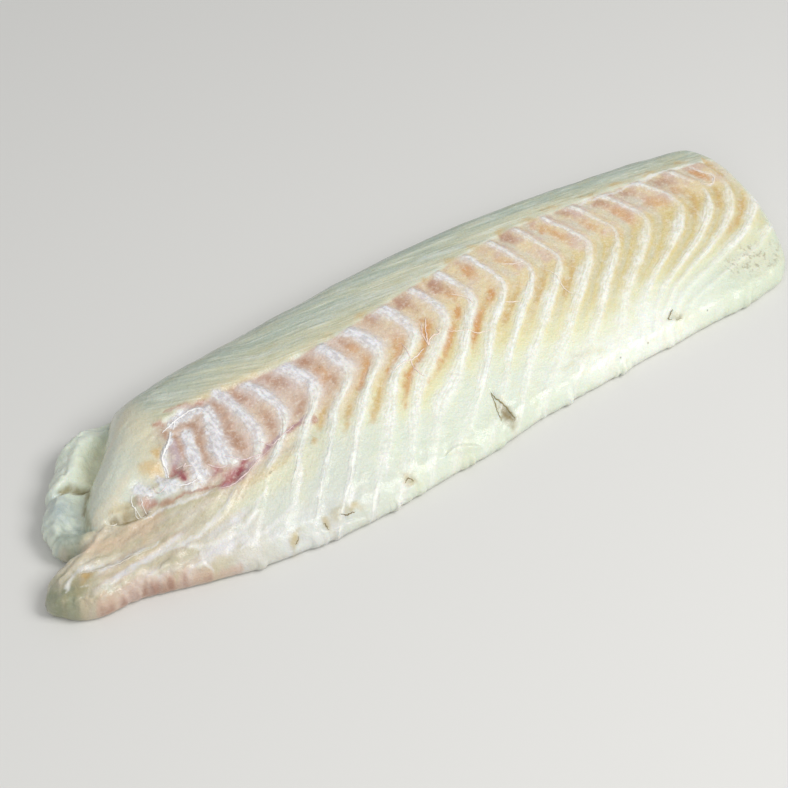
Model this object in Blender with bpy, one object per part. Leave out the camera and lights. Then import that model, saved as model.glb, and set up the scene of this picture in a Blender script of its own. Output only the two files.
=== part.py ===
"""Skinless side of cod, lying on its skinned face with the cut face up.

One solid: the thick main body with its rounded back edge, the low lobe behind the
blunt nose, the thin belly flap in front of it, and the chevron flakes of the cut face.

Metres. +X runs from the head end to the tail end, +Y to the fish's back, +Z up.
The widest outline lies a few millimetres up, and the underside is flat at z = 0.
"""

import bpy
import bmesh
import numpy as np

# ------------------------------------------------------------------ outline, seen from above
# Four edges, each a smooth curve through the few points that its shape needs.
BELLY_EDGE = [
    (-0.1630, -0.0313), (-0.1540, -0.0348), (-0.1410, -0.0348), (-0.1240, -0.0393),
    (-0.1060, -0.0448), (-0.0840, -0.0483), (-0.0620, -0.0498), (-0.0300, -0.0483),
    (0.0000, -0.0453), (0.0300, -0.0418), (0.0650, -0.0396), (0.1050, -0.0383),
    (0.1320, -0.0373), (0.1490, -0.0353),
]
BACK_EDGE = [
    (-0.1260, 0.0407), (-0.1120, 0.0412), (-0.1000, 0.0392), (-0.0800, 0.0412),
    (-0.0500, 0.0437), (-0.0200, 0.0457), (0.0100, 0.0482), (0.0450, 0.0487),
    (0.0800, 0.0467), (0.1100, 0.0452), (0.1350, 0.0437), (0.1480, 0.0422), (0.1570, 0.0392),
]
HEAD_END = [
    (-0.1630, -0.0313), (-0.1680, -0.0268), (-0.1695, -0.0208), (-0.1655, -0.0143),
    (-0.1580, -0.0118), (-0.1530, -0.0093), (-0.1555, -0.0038), (-0.1565, 0.0052),
    (-0.1515, 0.0137), (-0.1445, 0.0232), (-0.1360, 0.0332), (-0.1260, 0.0407),
]
TAIL_END = [
    (0.1490, -0.0353), (0.1570, -0.0288), (0.1620, -0.0188), (0.1660, -0.0068),
    (0.1680, 0.0062), (0.1685, 0.0182), (0.1675, 0.0272), (0.1640, 0.0347), (0.1570, 0.0392),
]
RAGGED_EDGE = 0.0005     # how far the torn belly edge strays from its smooth line
RAGGED_WAVES = ((47.0, 0.4), (83.0, 2.1), (131.0, 4.4))     # waves along it, and where each starts
RAGGED_FADE = 0.05       # share of the edge at each end over which it runs smooth

# ------------------------------------------------------------------ heights
CREST_HEIGHT = [
    (-0.170, 0.0090), (-0.150, 0.0130), (-0.130, 0.0215), (-0.115, 0.0250), (-0.095, 0.0275),
    (-0.050, 0.0288), (0.020, 0.0275), (0.080, 0.0250), (0.130, 0.0215), (0.170, 0.0170),
]
CREST_LINE = [
    (-0.150, 0.0122), (-0.110, 0.0182), (-0.060, 0.0232), (0.000, 0.0322), (0.060, 0.0362),
    (0.110, 0.0332), (0.170, 0.0262),
]
BELLY_THICKNESS = 0.0080     # of the flank just inside the belly edge
BELLY_FULLNESS = 1.8         # how soon the flank reaches the crest's height
WIDEST_AT_BELLY = 0.0035     # height of the outline's widest line, along the belly
WIDEST_AT_BACK = 0.0070      # and along the back
WIDEST_RISE = (0.15, 0.90)   # shares of the width between which it climbs
BACK_FULLNESS = 2.1          # 2 is a quarter ellipse, more is squarer
BELLY_ROUND = 0.0070         # radii of the upper edges
HEAD_ROUND = 0.0080
TAIL_ROUND = 0.0070
BACK_ROUND = 0.0040
UNDER_ROUND = 0.0050         # and of the lower edge, all round

# ------------------------------------------------------------------ head end
# The main body stops in a blunt nose, which stands over the lobe and the belly flap.
NOSE_OUTLINE = [
    (-0.1040, 0.0502), (-0.1110, 0.0397), (-0.1150, 0.0332), (-0.1200, 0.0267), (-0.1270, 0.0182),
    (-0.1350, 0.0108), (-0.1405, 0.0042), (-0.1435, -0.0028), (-0.1410, -0.0083), (-0.1340, -0.0116),
    (-0.1270, -0.0120), (-0.1190, -0.0088), (-0.1100, -0.0068),
]
NOSE_OUTLINE_STEPS = 120
NOSE_ROUND = 0.0130
NOSE_FULLNESS = 2.4
PAST_THE_TAIL = 1.0
LOBE_CREASE_HEIGHT = 0.0070
LOBE_RIM_HEIGHT = 0.0125
LOBE_SLOPE = (0.0015, 0.0110)     # the lobe rises from the crease to its rim over this stretch
FLAP_HEIGHT = 0.0115
FLAP_RISE = 0.0015                # more of it on the side towards the nose
FLAP_RISE_FROM = (-0.0358, -0.0138)
FLAP_TIP_DROP = 0.0020
FLAP_TIP_FROM = (-0.150, -0.170)
FLAP_JOINS_BODY = (-0.142, -0.104)
LOBE_TO_FLAP = (-0.0020, -0.0080)
HEAD_FORMS_END = (-0.092, -0.106)

# ------------------------------------------------------------------ flakes
# A flake ends at each white sheet, whose line points to the tail at its apex.
SEPTUM_COUNT = [
    (-0.160, -12.5), (-0.100, -8.0), (-0.065, -5.0), (-0.018, -2.0), (0.027, 1.0),
    (0.070, 4.0), (0.114, 7.0), (0.159, 10.0), (0.190, 12.0),
]
APEX_LINE = [
    (-0.120, -0.0148), (-0.075, -0.0138), (-0.055, -0.0068), (-0.040, -0.0018), (-0.020, 0.0012),
    (0.020, 0.0052), (0.060, 0.0067), (0.100, 0.0082), (0.150, 0.0102),
]
UPPER_LEAN = [(-0.110, 0.05), (-0.080, 0.20), (-0.060, 0.40), (-0.040, 0.45), (0.170, 0.45)]
LOWER_SWEEP = 1.15           # metres along the fillet for each metre towards the belly
APEX_ROUND = 0.0050
BAND_TOP = [
    (-0.110, 0.0110), (-0.100, 0.0122), (-0.070, 0.0142), (-0.035, 0.0157), (-0.010, 0.0197),
    (0.015, 0.0237), (0.045, 0.0292), (0.065, 0.0307), (0.100, 0.0302), (0.150, 0.0282),
]
BAND_BOTTOM = [
    (-0.125, -0.0135), (-0.095, -0.0180), (-0.070, -0.0180), (-0.040, -0.0180), (0.160, -0.0150),
]
BAND_ENDS = (-0.117, -0.104)      # the flakes start here, behind the nose
FLAKE_RELIEF = 0.0009
FLANK_RELIEF_SHARE = 0.45         # the flakes lie flatter on the flank below the band
SEPTUM_DROP = (0.02, 0.22)        # shares of a flake: the step down after a white sheet
FLAKE_RISE = (0.30, 0.98)         # and the slow rise to the next
BAND_EDGE = 0.0030
BLOOD_BAND_SINK = 0.0012          # the dark band behind the nose lies lower than the flesh round it
BLOOD_BAND_TO = (-0.030, -0.060)

# ------------------------------------------------------------------ mesh
COLUMNS = ((0, 6, 111, 116), (0.0, 0.036, 0.966, 1.0))     # grid columns, and how far along each lies
ROWS = ((0, 4, 23, 30), (0.0, 0.070, 0.800, 1.0))          # grid rows, and how far across
MERGE_DISTANCE = 0.000001
FLAT_WITHIN = 0.0000001
FLESH_COLOUR = (0.80, 0.76, 0.62, 1.0)
FLESH_ROUGHNESS = 0.35


def smooth_step(start, end, value):
    """0 before start, 1 after end, and a smooth way between."""
    share = np.clip((value - start) / (end - start), 0.0, 1.0)
    return share * share * (3.0 - 2.0 * share)


def through(stations, x):
    """A smooth curve through the stations, read at x and held level past both ends."""
    at, value = np.asarray(stations, float).T
    slope = np.gradient(value, at)
    x = np.clip(x, at[0], at[-1])
    k = np.clip(np.searchsorted(at, x, side="right") - 1, 0, len(at) - 2)
    span = at[k + 1] - at[k]
    t = (x - at[k]) / span
    start = (2 * t**3 - 3 * t**2 + 1) * value[k] + (t**3 - 2 * t**2 + t) * span * slope[k]
    end = (3 * t**2 - 2 * t**3) * value[k + 1] + (t**3 - t**2) * span * slope[k + 1]
    return start + end


def along(points, share):
    """The place a share of the way along a smooth curve through the points."""
    points = np.asarray(points, float)
    steps = np.hypot(*np.diff(points, axis=0).T)
    reached = np.concatenate([[0.0], np.cumsum(steps)]) / steps.sum()
    x = through(np.column_stack([reached, points[:, 0]]), share)
    y = through(np.column_stack([reached, points[:, 1]]), share)
    return np.stack([x, y], axis=-1)


def round_over(share, fullness=2.0):
    """0 at an edge with a steep start, 1 from share 1 on: the profile of a rounded edge."""
    share = np.clip(share, 0.0, 1.0)
    return (1.0 - (1.0 - share) ** fullness) ** (1.0 / fullness)


def outline_place(u, v):
    """Plan position at u from head to tail and v from belly to back, blended from the four edges."""
    belly, back = along(BELLY_EDGE, u), along(BACK_EDGE, u)
    head, tail = along(HEAD_END, v), along(TAIL_END, v)
    ragged = sum(np.sin(waves * u * 2.0 * np.pi + start) for waves, start in RAGGED_WAVES)
    belly[..., 1] += RAGGED_EDGE * ragged * np.clip(np.minimum(u, 1.0 - u) / RAGGED_FADE, 0.0, 1.0)
    u, v = u[..., None], v[..., None]
    corners = [np.array(edge[end]) for edge in (BELLY_EDGE, BACK_EDGE) for end in (0, -1)]
    straight = (1 - v) * ((1 - u) * corners[0] + u * corners[1])
    straight = straight + v * ((1 - u) * corners[2] + u * corners[3])
    return (1 - v) * belly + v * back + (1 - u) * head + u * tail - straight


def edge_distances(u, v):
    """Distance to the belly, back, head and tail edges."""
    width = along(BACK_EDGE, u)[..., 1] - along(BELLY_EDGE, u)[..., 1]
    length = along(TAIL_END, v)[..., 0] - along(HEAD_END, v)[..., 0]
    return v * width, (1 - v) * width, u * length, (1 - u) * length


def widest_height(v):
    """Height of the outline's widest line."""
    return WIDEST_AT_BELLY + (WIDEST_AT_BACK - WIDEST_AT_BELLY) * smooth_step(*WIDEST_RISE, v)


def depth_in_nose(x, y):
    """Distance to the nose's outline: positive inside the main body, negative outside."""
    line = along(NOSE_OUTLINE, np.linspace(0.0, 1.0, NOSE_OUTLINE_STEPS))
    nearest = np.full(x.shape, np.inf)
    for start, end in zip(line[:-1], line[1:]):
        side = end - start
        share = ((x - start[0]) * side[0] + (y - start[1]) * side[1]) / (side @ side)
        share = np.clip(share, 0.0, 1.0)
        gap = np.hypot(x - start[0] - share * side[0], y - start[1] - share * side[1])
        nearest = np.minimum(nearest, gap)
    # The line is closed past the tail end, and a ray to the tail counts the crossings.
    ring = np.vstack([line, [(PAST_THE_TAIL, line[-1, 1]), (PAST_THE_TAIL, line[0, 1])]])
    inside = np.zeros(x.shape, bool)
    for start, end in zip(ring, np.roll(ring, -1, axis=0)):
        if start[1] == end[1]:
            continue
        crosses = (start[1] > y) != (end[1] > y)
        at = start[0] + (y - start[1]) * (end[0] - start[0]) / (end[1] - start[1])
        inside ^= crosses & (x < at)
    return np.where(inside, nearest, -nearest)


def body_height(x, y, to_back):
    """The main body: a full flank up to the crest, and a rounded back beyond it."""
    crest, line = through(CREST_HEIGHT, x), through(CREST_LINE, x)
    belly, back = through(BELLY_EDGE, x), through(BACK_EDGE, x)
    up = np.clip((y - belly) / (line - belly), 0.0, 1.0)
    flank = BELLY_THICKNESS + (crest - BELLY_THICKNESS) * (1 - (1 - up) ** BELLY_FULLNESS)
    rounded = round_over(to_back / (back - line), BACK_FULLNESS)
    return np.where(y < line, flank, WIDEST_AT_BACK + (crest - WIDEST_AT_BACK) * rounded)


def head_forms_height(x, y, body, depth):
    """The low lobe and the belly flap beside the nose, running into the body past it."""
    lobe = LOBE_CREASE_HEIGHT + (LOBE_RIM_HEIGHT - LOBE_CREASE_HEIGHT) * smooth_step(*LOBE_SLOPE, -depth)
    flap = FLAP_HEIGHT + FLAP_RISE * smooth_step(*FLAP_RISE_FROM, y)
    flap = flap - FLAP_TIP_DROP * smooth_step(*FLAP_TIP_FROM, x)
    flap = flap + (body - flap) * smooth_step(*FLAP_JOINS_BODY, x)
    low = lobe + (flap - lobe) * smooth_step(*LOBE_TO_FLAP, y)
    return body + (low - body) * smooth_step(*HEAD_FORMS_END, x)


def flake_share(x, y):
    """How far a point lies through its flake: 0 at one white sheet, 1 at the next."""
    below = y - through(APEX_LINE, x)
    lean = through(UPPER_LEAN, x)
    bend = np.sqrt(below**2 + APEX_ROUND**2) - APEX_ROUND
    apex = x + (LOWER_SWEEP + lean) / 2 * bend - (LOWER_SWEEP - lean) / 2 * below
    count = through(SEPTUM_COUNT, apex)
    return count - np.floor(count)


def cut_face_relief(x, y):
    """The stepped flakes, and the sunk blood band."""
    share = flake_share(x, y)
    step = np.maximum(1 - smooth_step(*SEPTUM_DROP, share), smooth_step(*FLAKE_RISE, share))
    top, bottom = through(BAND_TOP, x), through(BAND_BOTTOM, x)
    under_top = smooth_step(top + BAND_EDGE / 2, top - BAND_EDGE / 2, y)
    over_bottom = smooth_step(bottom - BAND_EDGE, bottom + BAND_EDGE, y)
    past_nose = smooth_step(*BAND_ENDS, x)
    band = FLANK_RELIEF_SHARE + (1 - FLANK_RELIEF_SHARE) * over_bottom
    sink = BLOOD_BAND_SINK * under_top * over_bottom * smooth_step(*BLOOD_BAND_TO, x)
    return past_nose * (FLAKE_RELIEF * band * under_top * (step - 0.5) - sink)


def upper_place(u, v):
    """Where a point of the upper face lies."""
    x, y = np.moveaxis(outline_place(u, v), -1, 0)
    to_belly, to_back, to_head, to_tail = edge_distances(u, v)
    body = body_height(x, y, to_back)
    depth = depth_in_nose(x, y)
    low = head_forms_height(x, y, body, depth)
    height = low + (body - low) * round_over(depth / NOSE_ROUND, NOSE_FULLNESS)
    height = height + cut_face_relief(x, y)
    edge = round_over(to_belly / BELLY_ROUND) * round_over(to_back / BACK_ROUND)
    edge = edge * round_over(to_head / HEAD_ROUND) * round_over(to_tail / TAIL_ROUND)
    widest = widest_height(v)
    return np.stack([x, y, widest + (height - widest) * edge], axis=-1)


def under_place(u, v):
    """Where a point of the underside lies: flat, with its edge rounded up to the widest line."""
    edge = np.ones_like(u)
    for distance in edge_distances(u, v):
        edge = edge * round_over(distance / UNDER_ROUND)
    return np.concatenate([outline_place(u, v), (widest_height(v) * (1 - edge))[..., None]], axis=-1)


def add_face_sheet(bm, place, facing_down):
    """One grid over the whole outline, with each vertex moved to its place."""
    grid = bmesh.ops.create_grid(bm, x_segments=COLUMNS[0][-1], y_segments=ROWS[0][-1], size=0.5)
    flat = np.array([vert.co[:2] for vert in grid["verts"]]) + 0.5
    u = np.interp(flat[:, 0] * COLUMNS[0][-1], *COLUMNS)
    v = np.interp(flat[:, 1] * ROWS[0][-1], *ROWS)
    for vert, co in zip(grid["verts"], place(u, v)):
        vert.co = co
    faces = {face for vert in grid["verts"] for face in vert.link_faces}
    if facing_down:
        bmesh.ops.reverse_faces(bm, faces=list(faces))
    return grid["verts"]


def fillet_mesh():
    """Both faces joined along the widest line, the flat underside as one face, centred on the origin."""
    bm = bmesh.new()
    add_face_sheet(bm, upper_place, facing_down=False)
    add_face_sheet(bm, under_place, facing_down=True)
    bmesh.ops.remove_doubles(bm, verts=bm.verts[:], dist=MERGE_DISTANCE)
    flat = [face for face in bm.faces if all(vert.co.z < FLAT_WITHIN for vert in face.verts)]
    bmesh.ops.dissolve_faces(bm, faces=flat, use_verts=True)
    reach = np.array([vert.co[:2] for vert in bm.verts])
    centre = (reach.min(axis=0) + reach.max(axis=0)) / 2
    bmesh.ops.translate(bm, verts=bm.verts[:], vec=(-centre[0], -centre[1], 0.0))
    mesh = bpy.data.meshes.new("fillet")
    bm.to_mesh(mesh)
    bm.free()
    mesh.shade_smooth()
    return mesh


def flesh_material():
    """Raw cod flesh: pale, slightly warm, moist."""
    material = bpy.data.materials.new("raw_cod_flesh")
    material.use_nodes = True
    shader = material.node_tree.nodes["Principled BSDF"]
    shader.inputs["Base Color"].default_value = FLESH_COLOUR
    shader.inputs["Roughness"].default_value = FLESH_ROUGHNESS
    shader.inputs["Metallic"].default_value = 0.0
    return material


def main():
    for obj in list(bpy.data.objects):
        bpy.data.objects.remove(obj, do_unlink=True)
    collection = bpy.data.collections.new("cod_fillet")
    bpy.context.scene.collection.children.link(collection)
    fillet = bpy.data.objects.new("fillet", fillet_mesh())
    fillet.data.materials.append(flesh_material())
    collection.objects.link(fillet)


main()
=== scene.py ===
# %% [markdown]
# # Cod fillet, skinless side, cut face up
#
# A raw side of cod is a long block of soft muscle. Its cut face shows flakes: short blocks of muscle,
# each ended by a thin white sheet of connective tissue that is bent into an arrow. Round that face lie
# smoother parts: the strip along the back, the blunt nose, a low lobe behind it and the belly flap.
# This lesson loads the plain solid of the part, lays a much finer skin over the same shape, and gives
# it the flakes, folds, stains and wet gloss of the real flesh.

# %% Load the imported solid
import math

import bmesh
import bpy
import numpy as np
from mathutils import Matrix, Vector
from mathutils.bvhtree import BVHTree


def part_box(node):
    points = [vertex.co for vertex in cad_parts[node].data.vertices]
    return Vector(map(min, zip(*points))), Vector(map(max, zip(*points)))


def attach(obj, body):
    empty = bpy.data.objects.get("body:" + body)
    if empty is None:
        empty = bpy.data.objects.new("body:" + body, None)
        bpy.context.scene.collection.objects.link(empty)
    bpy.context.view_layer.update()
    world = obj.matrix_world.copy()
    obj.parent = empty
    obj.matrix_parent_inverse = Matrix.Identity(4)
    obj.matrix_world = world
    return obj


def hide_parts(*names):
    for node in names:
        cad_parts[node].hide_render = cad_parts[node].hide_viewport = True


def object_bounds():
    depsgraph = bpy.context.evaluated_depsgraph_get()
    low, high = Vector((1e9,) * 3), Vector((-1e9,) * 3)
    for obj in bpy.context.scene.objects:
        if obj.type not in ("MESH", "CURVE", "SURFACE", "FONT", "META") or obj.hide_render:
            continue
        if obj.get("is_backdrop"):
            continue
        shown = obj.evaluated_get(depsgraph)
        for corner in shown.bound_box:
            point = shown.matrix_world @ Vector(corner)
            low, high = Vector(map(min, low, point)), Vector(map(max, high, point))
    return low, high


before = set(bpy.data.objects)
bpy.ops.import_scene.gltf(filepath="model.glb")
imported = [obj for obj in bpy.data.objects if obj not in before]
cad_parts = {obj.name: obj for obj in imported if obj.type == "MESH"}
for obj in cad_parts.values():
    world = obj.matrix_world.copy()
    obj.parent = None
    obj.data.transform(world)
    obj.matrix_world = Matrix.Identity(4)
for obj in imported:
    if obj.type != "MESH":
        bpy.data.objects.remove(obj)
cad_low, cad_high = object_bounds()
solid_low, solid_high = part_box("fillet")
print("solid box in mm:", [round(1000 * (b - a), 1) for a, b in zip(solid_low, solid_high)])

# %% [markdown]
# ## Measuring in millimetres
#
# Flesh has details of a tenth of a millimetre to a few centimetres, so every size below is in
# millimetres, and only the finished mesh turns them to metres. Smooth curves through a few stations
# describe the outline and the heights, just as one would draw them with a bendy ruler.

# %% Curves and steps
MM = 0.001


def smooth_step(start, end, value):
    """0 before start, 1 after end, and a smooth way between."""
    share = np.clip((value - start) / (end - start), 0.0, 1.0)
    return share * share * (3.0 - 2.0 * share)


def through(stations, x):
    """A smooth curve through the stations, read at x and held level past both ends."""
    at, value = np.asarray(stations, float).T
    slope = np.gradient(value, at)
    x = np.clip(x, at[0], at[-1])
    k = np.clip(np.searchsorted(at, x, side="right") - 1, 0, len(at) - 2)
    span = at[k + 1] - at[k]
    t = (x - at[k]) / span
    start = (2 * t**3 - 3 * t**2 + 1) * value[k] + (t**3 - 2 * t**2 + t) * span * slope[k]
    end = (3 * t**2 - 2 * t**3) * value[k + 1] + (t**3 - t**2) * span * slope[k + 1]
    return start + end


def along(points, share):
    """The place a share of the way along a smooth curve through the points."""
    points = np.asarray(points, float)
    steps = np.hypot(*np.diff(points, axis=0).T)
    reached = np.concatenate([[0.0], np.cumsum(steps)]) / steps.sum()
    x = through(np.column_stack([reached, points[:, 0]]), share)
    y = through(np.column_stack([reached, points[:, 1]]), share)
    return np.stack([x, y], axis=-1)


def round_over(share, fullness=2.0):
    """0 at an edge with a steep start, 1 from share 1 on: the profile of a rounded edge."""
    share = np.clip(share, 0.0, 1.0)
    return (1.0 - (1.0 - share) ** fullness) ** (1.0 / fullness)


# %% [markdown]
# ## Uneven on purpose
#
# Nothing on a fish is even. A lattice of random heights with a soft curve between them gives bumps of
# one chosen size, and a fixed seed gives the same bumps each time. Layers of it, each half the size of
# the last, look grown. Sliders such as a cloud texture could do it too, but then the mesh itself would
# stay smooth. Where bumps are asked for below, the two numbers after the place are size and seed.

# %% Random bumps
LATTICE = 256
LAYER_HEIGHT = 0.55      # of the layer before it


def bumps(x, y, size, seed):
    """Smooth random values from -1 to 1 whose bumps are about one size across."""
    lattice = np.random.default_rng(seed).uniform(-1.0, 1.0, (LATTICE, LATTICE))
    gx, gy = x / size + LATTICE / 2, y / size + LATTICE / 2
    i, j = np.floor(gx).astype(int), np.floor(gy).astype(int)
    s, t = gx - i, gy - j
    s, t = s * s * (3 - 2 * s), t * t * (3 - 2 * t)
    i, j, i2, j2 = i % LATTICE, j % LATTICE, (i + 1) % LATTICE, (j + 1) % LATTICE
    near = lattice[i, j] * (1 - s) + lattice[i2, j] * s
    far = lattice[i, j2] * (1 - s) + lattice[i2, j2] * s
    return near * (1 - t) + far * t


def grown(x, y, size, seed, layers=3):
    """Bumps on bumps: each layer is half the size and a bit over half the height of the last."""
    total = sum(LAYER_HEIGHT**k * bumps(x, y, size / 2**k, seed + k) for k in range(layers))
    return total / sum(LAYER_HEIGHT**k for k in range(layers))


# %% [markdown]
# ## Outline and heights
#
# These are the sizes of the solid: its outline from above, its crest along the back, and the forms of
# the head end. The fine skin keeps to them, so it covers the solid everywhere.

# %% The outline from above
BELLY_EDGE = [
    (-163.0, -31.3), (-154.0, -34.8), (-141.0, -34.8), (-124.0, -39.3), (-106.0, -44.8),
    (-84.0, -48.3), (-62.0, -49.8), (-30.0, -48.9), (0.0, -46.2), (30.0, -42.9), (65.0, -40.7),
    (105.0, -39.2), (132.0, -38.1), (149.0, -35.6),
]
BACK_EDGE = [
    (-126.0, 40.7), (-112.0, 41.2), (-100.0, 39.2), (-80.0, 41.2), (-50.0, 43.7), (-20.0, 45.7),
    (10.0, 48.2), (45.0, 48.7), (80.0, 46.7), (110.0, 45.2), (135.0, 43.7), (148.0, 41.9), (156.4, 38.8),
]
HEAD_END = [
    (-163.0, -31.3), (-168.0, -26.8), (-169.5, -20.8), (-165.5, -14.3), (-158.0, -11.8),
    (-153.0, -9.3), (-155.5, -3.8), (-156.5, 5.2), (-151.5, 13.7), (-144.5, 23.2), (-136.0, 33.2),
    (-126.0, 40.7),
]
TAIL_END = [
    (149.0, -35.6), (157.0, -28.8), (162.0, -18.8), (166.0, -6.8), (168.0, 6.2), (168.5, 18.2),
    (167.0, 27.0), (163.0, 34.2), (156.4, 38.8),
]
RAGGED_EDGE, RAGGED_EDGE_BUMPS = 1.0, (13.0, 21, 4)      # mm deep, and bumps: size, seed and layers
RAGGED_HEAD, RAGGED_HEAD_BUMPS = 1.5, (7.0, 25, 4)
TORN_EDGE, TORN_EDGE_BUMPS = 2.3, (3.0, 23, 3)
TORN_HEAD, TORN_HEAD_BUMPS = 1.8, (3.0, 27, 2)
TORN_FROM, TORN_REACH = 0.15, 3.5
RAGGED_REACH = 9.0
RAGGED_FADE = 0.05       # of the edge's length, at both of its ends


def outline_place(u, v):
    """Plan position at u from head to tail and v from belly to back, blended from the four edges."""
    belly, back = along(BELLY_EDGE, u), along(BACK_EDGE, u)
    head, tail = along(HEAD_END, v), along(TAIL_END, v)
    to_belly = v * (back[..., 1] - belly[..., 1])
    ragged = RAGGED_EDGE * grown(belly[..., 0], 0.0 * u, *RAGGED_EDGE_BUMPS)
    ragged = ragged * (1 - smooth_step(0.0, RAGGED_REACH, to_belly))
    torn = np.clip(grown(belly[..., 0], 0.0 * u, *TORN_EDGE_BUMPS) - TORN_FROM, 0.0, 1.0)
    ragged = ragged - TORN_EDGE * torn * (1 - smooth_step(0.0, TORN_REACH, to_belly))
    ragged = ragged * np.clip(np.minimum(u, 1.0 - u) / RAGGED_FADE, 0.0, 1.0)
    to_head = u * (tail[..., 0] - head[..., 0])
    ragged_head = RAGGED_HEAD * grown(0.0 * v, head[..., 1], *RAGGED_HEAD_BUMPS)
    ragged_head = ragged_head + TORN_HEAD * grown(0.0 * v, head[..., 1], *TORN_HEAD_BUMPS)
    ragged_head = ragged_head * (1 - smooth_step(0.0, RAGGED_REACH, to_head))
    ragged_head = ragged_head * np.clip(np.minimum(v, 1.0 - v) / RAGGED_FADE, 0.0, 1.0)
    u, v = u[..., None], v[..., None]
    corners = [np.array(edge[end]) for edge in (BELLY_EDGE, BACK_EDGE) for end in (0, -1)]
    straight = (1 - v) * ((1 - u) * corners[0] + u * corners[1])
    straight = straight + v * ((1 - u) * corners[2] + u * corners[3])
    place = (1 - v) * belly + v * back + (1 - u) * head + u * tail - straight
    place[..., 1] += ragged
    place[..., 0] += ragged_head
    return place


def edge_distances(u, v):
    """Distance to the belly, back, head and tail edges."""
    width = along(BACK_EDGE, u)[..., 1] - along(BELLY_EDGE, u)[..., 1]
    length = along(TAIL_END, v)[..., 0] - along(HEAD_END, v)[..., 0]
    return v * width, (1 - v) * width, u * length, (1 - u) * length


# %% The heights of the body, nose, lobe and flap
CREST_HEIGHT = [
    (-170, 9.0), (-150, 13.0), (-130, 21.5), (-115, 25.0), (-95, 27.5), (-50, 28.8), (20, 27.5),
    (80, 25.0), (130, 21.5), (170, 17.0),
]
CREST_LINE = [(-150, 12.2), (-110, 18.2), (-60, 23.2), (0, 32.2), (60, 36.2), (110, 33.2), (170, 26.2)]
BELLY_THICKNESS = 8.0
BELLY_FULLNESS = 1.8
WIDEST_AT_BELLY = 3.5
WIDEST_AT_BACK = 7.0
WIDEST_RISE = (0.15, 0.90)
BACK_FULLNESS = 2.1
BELLY_ROUND, HEAD_ROUND, TAIL_ROUND, BACK_ROUND, UNDER_ROUND = 7.0, 8.0, 7.0, 4.0, 5.0
NOSE_OUTLINE = [
    (-104.0, 50.2), (-111.0, 39.7), (-115.0, 33.2), (-120.0, 26.7), (-127.0, 18.2), (-135.0, 10.8),
    (-140.5, 4.2), (-143.5, -2.8), (-141.0, -8.3), (-134.0, -11.6), (-127.0, -12.0), (-119.0, -8.8),
    (-110.0, -6.8),
]
NOSE_STEPS = 120
NOSE_ROUND, NOSE_FULLNESS = 13.0, 2.4
PAST_THE_TAIL = 1000.0
LOBE_CREASE_HEIGHT, LOBE_RIM_HEIGHT = 7.0, 12.5
LOBE_SLOPE = (1.5, 11.0)
FLAP_HEIGHT, FLAP_RISE, FLAP_TIP_DROP = 11.5, 1.5, 2.0
FLAP_RISE_FROM = (-35.8, -13.8)
FLAP_TIP_FROM = (-150.0, -170.0)
FLAP_JOINS_BODY = (-142.0, -104.0)
LOBE_TO_FLAP = (-2.0, -8.0)
HEAD_FORMS_END = (-92.0, -106.0)


def widest_height(v):
    """Height of the outline's widest line."""
    return WIDEST_AT_BELLY + (WIDEST_AT_BACK - WIDEST_AT_BELLY) * smooth_step(*WIDEST_RISE, v)


def depth_in_nose(x, y):
    """Distance to the nose's outline: positive inside the main body, negative outside."""
    line = along(NOSE_OUTLINE, np.linspace(0.0, 1.0, NOSE_STEPS))
    nearest = np.full(x.shape, np.inf)
    for start, end in zip(line[:-1], line[1:]):
        side = end - start
        share = np.clip(((x - start[0]) * side[0] + (y - start[1]) * side[1]) / (side @ side), 0.0, 1.0)
        gap = np.hypot(x - start[0] - share * side[0], y - start[1] - share * side[1])
        nearest = np.minimum(nearest, gap)
    ring = np.vstack([line, [(PAST_THE_TAIL, line[-1, 1]), (PAST_THE_TAIL, line[0, 1])]])
    inside = np.zeros(x.shape, bool)
    for start, end in zip(ring, np.roll(ring, -1, axis=0)):
        if start[1] == end[1]:
            continue
        crosses = (start[1] > y) != (end[1] > y)
        at = start[0] + (y - start[1]) * (end[0] - start[0]) / (end[1] - start[1])
        inside ^= crosses & (x < at)
    return np.where(inside, nearest, -nearest)


def body_height(x, y, to_back):
    """The main body: a full flank up to the crest, and a rounded back beyond it."""
    crest, line = through(CREST_HEIGHT, x), through(CREST_LINE, x)
    belly, back = through(BELLY_EDGE, x), through(BACK_EDGE, x)
    up = np.clip((y - belly) / (line - belly), 0.0, 1.0)
    flank = BELLY_THICKNESS + (crest - BELLY_THICKNESS) * (1 - (1 - up) ** BELLY_FULLNESS)
    rounded = round_over(to_back / (back - line), BACK_FULLNESS)
    return np.where(y < line, flank, WIDEST_AT_BACK + (crest - WIDEST_AT_BACK) * rounded)


def head_forms_height(x, y, body, depth):
    """The low lobe and the belly flap beside the nose, running into the body past it."""
    lobe = LOBE_CREASE_HEIGHT + (LOBE_RIM_HEIGHT - LOBE_CREASE_HEIGHT) * smooth_step(*LOBE_SLOPE, -depth)
    flap = FLAP_HEIGHT + FLAP_RISE * smooth_step(*FLAP_RISE_FROM, y)
    flap = flap - FLAP_TIP_DROP * smooth_step(*FLAP_TIP_FROM, x)
    flap = flap + (body - flap) * smooth_step(*FLAP_JOINS_BODY, x)
    low = lobe + (flap - lobe) * smooth_step(*LOBE_TO_FLAP, y)
    return body + (low - body) * smooth_step(*HEAD_FORMS_END, x)


# %% [markdown]
# ## Flakes
#
# The white sheets lie about 15 mm apart and point to the tail. One running number, the flake count,
# says where a place lies between them: it is whole on each sheet. Both the relief and the colours read
# it, so they can't come apart. Each sheet's point has its own place, and a little randomness makes the
# sheets wander as real ones do.

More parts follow.
